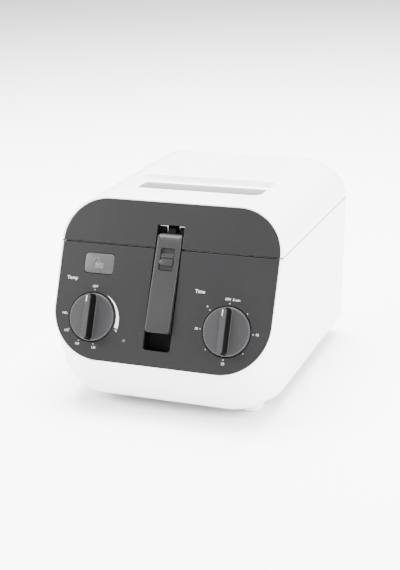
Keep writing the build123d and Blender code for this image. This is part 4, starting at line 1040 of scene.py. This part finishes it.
def dial_marks():
    """Dots, numbers and the growing arc around both dials, and their two titles."""
    marks = []
    for angle, text in ((169, "130"), (204, "150"), (238.5, "170"), (272, "190")):
        marks.append(dot_mark(*around(TEMPERATURE_AT, angle, 30.6), 0.5))
        marks.append(label(text, *around(TEMPERATURE_AT, angle, 34.6), 3.6))
    marks.append(dot_mark(*around(TEMPERATURE_AT, 0, 31.0), 0.5))
    marks.append(label("OFF", *around(TEMPERATURE_AT, 0, 34.6), 3.8))
    sweep = np.radians(np.linspace(34, 107, 30))
    wedge = []
    for radius in (np.full(30, 30.2), np.linspace(30.6, 34.6, 30)):
        s, t = TEMPERATURE_AT[0] + radius * np.sin(sweep), TEMPERATURE_AT[1] + radius * np.cos(sweep)
        wedge.append(on_fascia(s, t, PRINT_N))
    marks.append(surface(np.stack(wedge)))
    marks.append(label("°C", *around(TEMPERATURE_AT, 112, 33.8), 3.4))
    for step in range(8):
        marks.append(dot_mark(*around(TIMER_AT, 45 * step, 30.6), 0.5))
    marks.append(label("OFF  0 min", TIMER_AT[0] + 3.0, TIMER_AT[1] + 35.0, 3.8))
    for angle, text in ((90, "10"), (180, "20"), (270, "30")):
        marks.append(label(text, *around(TIMER_AT, angle, 35.0), 3.8))
    marks.append(label("+", *around(TIMER_AT, 315, 35.4), 4.2))
    marks.append(label("Temp", -112.0, -42.0, 5.6))
    marks.append(label("Time", 43.5, -43.6, 5.6))
    piece("dial_marks", joined(*marks), "base", "lens_clear", PRINT, recalculate=False)


# ---- Feet, gland and basket ------------------------------------------------------------------
def make_feet():
    """Four round pads, in the corners of the CAD feet's box."""
    low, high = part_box("feet")
    foot_r = 14.0
    xs = (low.x / MM + foot_r, high.x / MM - foot_r)
    ys = (low.y / MM - SHIFT + foot_r, high.y / MM - SHIFT - foot_r)
    profile = [(0.01, 0), (8.5, 0), (10.8, 0.4), (12.5, 1.5), (13.5, 3.2), (foot_r, 5.6), (foot_r, 9.0)]
    profile += [(13.4, 12.0), (12.0, 16.0), (0.01, 16.0)]
    feet = [surface(spin((x, y), profile), closed=True) for x in xs for y in ys]
    obj = piece("rest_pads", joined(*feet), "base", "casing_white", WHITE)
    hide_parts("feet")


def wire_basket():
    """The basket's wires: hoops round the wall and U-shaped wires each way through the floor."""
    low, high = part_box("basket_mesh")
    x1 = high.x / MM - 1.2
    y0, y1 = low.y / MM - SHIFT + 1.2, high.y / MM - SHIFT - 1.2
    z0, z1 = low.z / MM + 1.0, high.z / MM + 1.5
    wires, bend_r, corner = [], 8, 20.0
    middle, depth = (y0 + y1) / 2, y1 - y0
    for z in np.linspace(z0 + 8, z1 - 8, 8):
        ring = rounded_rect(0, middle, 2 * x1, depth, 20, 6, 1)
        wires.append(tube(np.column_stack([ring, np.full(len(ring), z)]), WIRE_R, 6, closed=True))

    def bent(half):
        """A wire down one wall, across the floor and up the other, with round corners."""
        low_z = z0 + bend_r
        left = arc(-half + bend_r, low_z, bend_r, bend_r, 180, 270, 5)
        right = arc(half - bend_r, low_z, bend_r, bend_r, 270, 360, 5)
        return np.concatenate([[[-half, z1]], left, right, [[half, z1]]])

    for x in np.linspace(-x1 + 3, x1 - 3, 26):
        reach = max(abs(x) - (x1 - corner), 0.0)
        half = depth / 2 - corner + np.sqrt(corner**2 - reach**2)
        line = bent(half)
        wires.append(tube(np.column_stack([np.full(len(line), x), line[:, 0] + middle, line[:, 1]]), WIRE_R, 6))
    for y in np.linspace(-depth / 2 + 3, depth / 2 - 3, 24):
        reach = max(abs(y) - (depth / 2 - corner), 0.0)
        half = x1 - corner + np.sqrt(corner**2 - reach**2)
        line = bent(half)
        wires.append(tube(np.column_stack([line[:, 0], np.full(len(line), y + middle), line[:, 1] + 0.9]), WIRE_R, 6))
    obj = piece("basket_wires", joined(*wires), "basket", "basket_wire", CHROME, recalculate=False)
    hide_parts("basket_mesh")


# ---- Studio ----------------------------------------------------------------------------------
AIM = Vector((0.0125, -0.0491, 0.1229))
DISTANCE = 1.45
AZIMUTH, ELEVATION, ROLL = 21.83, 19.17, -1.89
LENS = 78.93


def studio():
    """The camera, the floor, the white surround and four soft lamps."""
    a, e, r = radians(AZIMUTH), radians(ELEVATION), radians(ROLL)
    back = Vector((sin(a) * cos(e), -cos(a) * cos(e), sin(e)))
    level = Vector((cos(a), sin(a), 0))
    upright = back.cross(level)
    right = level * cos(r) + upright * sin(r)
    up = upright * cos(r) - level * sin(r)
    camera = bpy.data.objects.new("camera", bpy.data.cameras.new("camera"))
    bpy.context.scene.collection.objects.link(camera)
    camera.data.lens = LENS
    camera.data.sensor_width = 36.0
    spot = AIM + back * DISTANCE
    camera.matrix_world = Matrix((*zip(right, up, back, spot), (0, 0, 0, 1)))
    bpy.context.scene.camera = camera
    floor_mesh = bpy.data.meshes.new("floor")
    floor_mesh.from_pydata([(-6, -6, 0), (6, -6, 0), (6, 6, 0), (-6, 6, 0)], [], [(0, 1, 2, 3)])
    floor = bpy.data.objects.new("floor", floor_mesh)
    bpy.context.scene.collection.objects.link(floor)
    floor_mesh.materials.append(moulded("studio_floor", (0.93, 0.93, 0.93), 0.9, 0.0, 0.0))
    world = bpy.data.worlds.new("studio_white")
    world.use_nodes = True
    world.node_tree.nodes["Background"].inputs["Color"].default_value = (1, 1, 1, 1)
    world.node_tree.nodes["Background"].inputs["Strength"].default_value = 1.1
    bpy.context.scene.world = world
    lamp("overhead", (-0.1, 0.5, 2.4), 2.2, 560.0)
    lamp("right", (2.2, -0.2, 1.0), 1.6, 170.0)
    lamp("left", (-1.8, -0.9, 1.1), 0.9, 95.0)
    lamp("front", (0.9, -2.1, 0.35), 0.8, 50.0)


def lamp(name, place, size, power):
    """A square soft light that faces the fryer."""
    light = bpy.data.lights.new(name, "AREA")
    light.shape = "SQUARE"
    light.size = size
    light.energy = power
    obj = bpy.data.objects.new(name, light)
    bpy.context.scene.collection.objects.link(obj)
    obj.location = place
    obj.rotation_mode = "QUATERNION"
    obj.rotation_quaternion = (AIM - Vector(place)).to_track_quat("-Z", "Y")


studio()
dress_nodes()
white_casing()
white_lid()
cover_panel()
grille_field()
lid_inside()
fascia_plates()
shadow_gap()
make_knob("temperature_dial", TEMPERATURE_AT, "temperature", "temperature_knob")
make_knob("timer_dial", TIMER_AT, "timer", "timer_knob")
make_button()
make_handle()
dial_marks()
make_feet()
wire_basket()

bpy.context.view_layer.update()
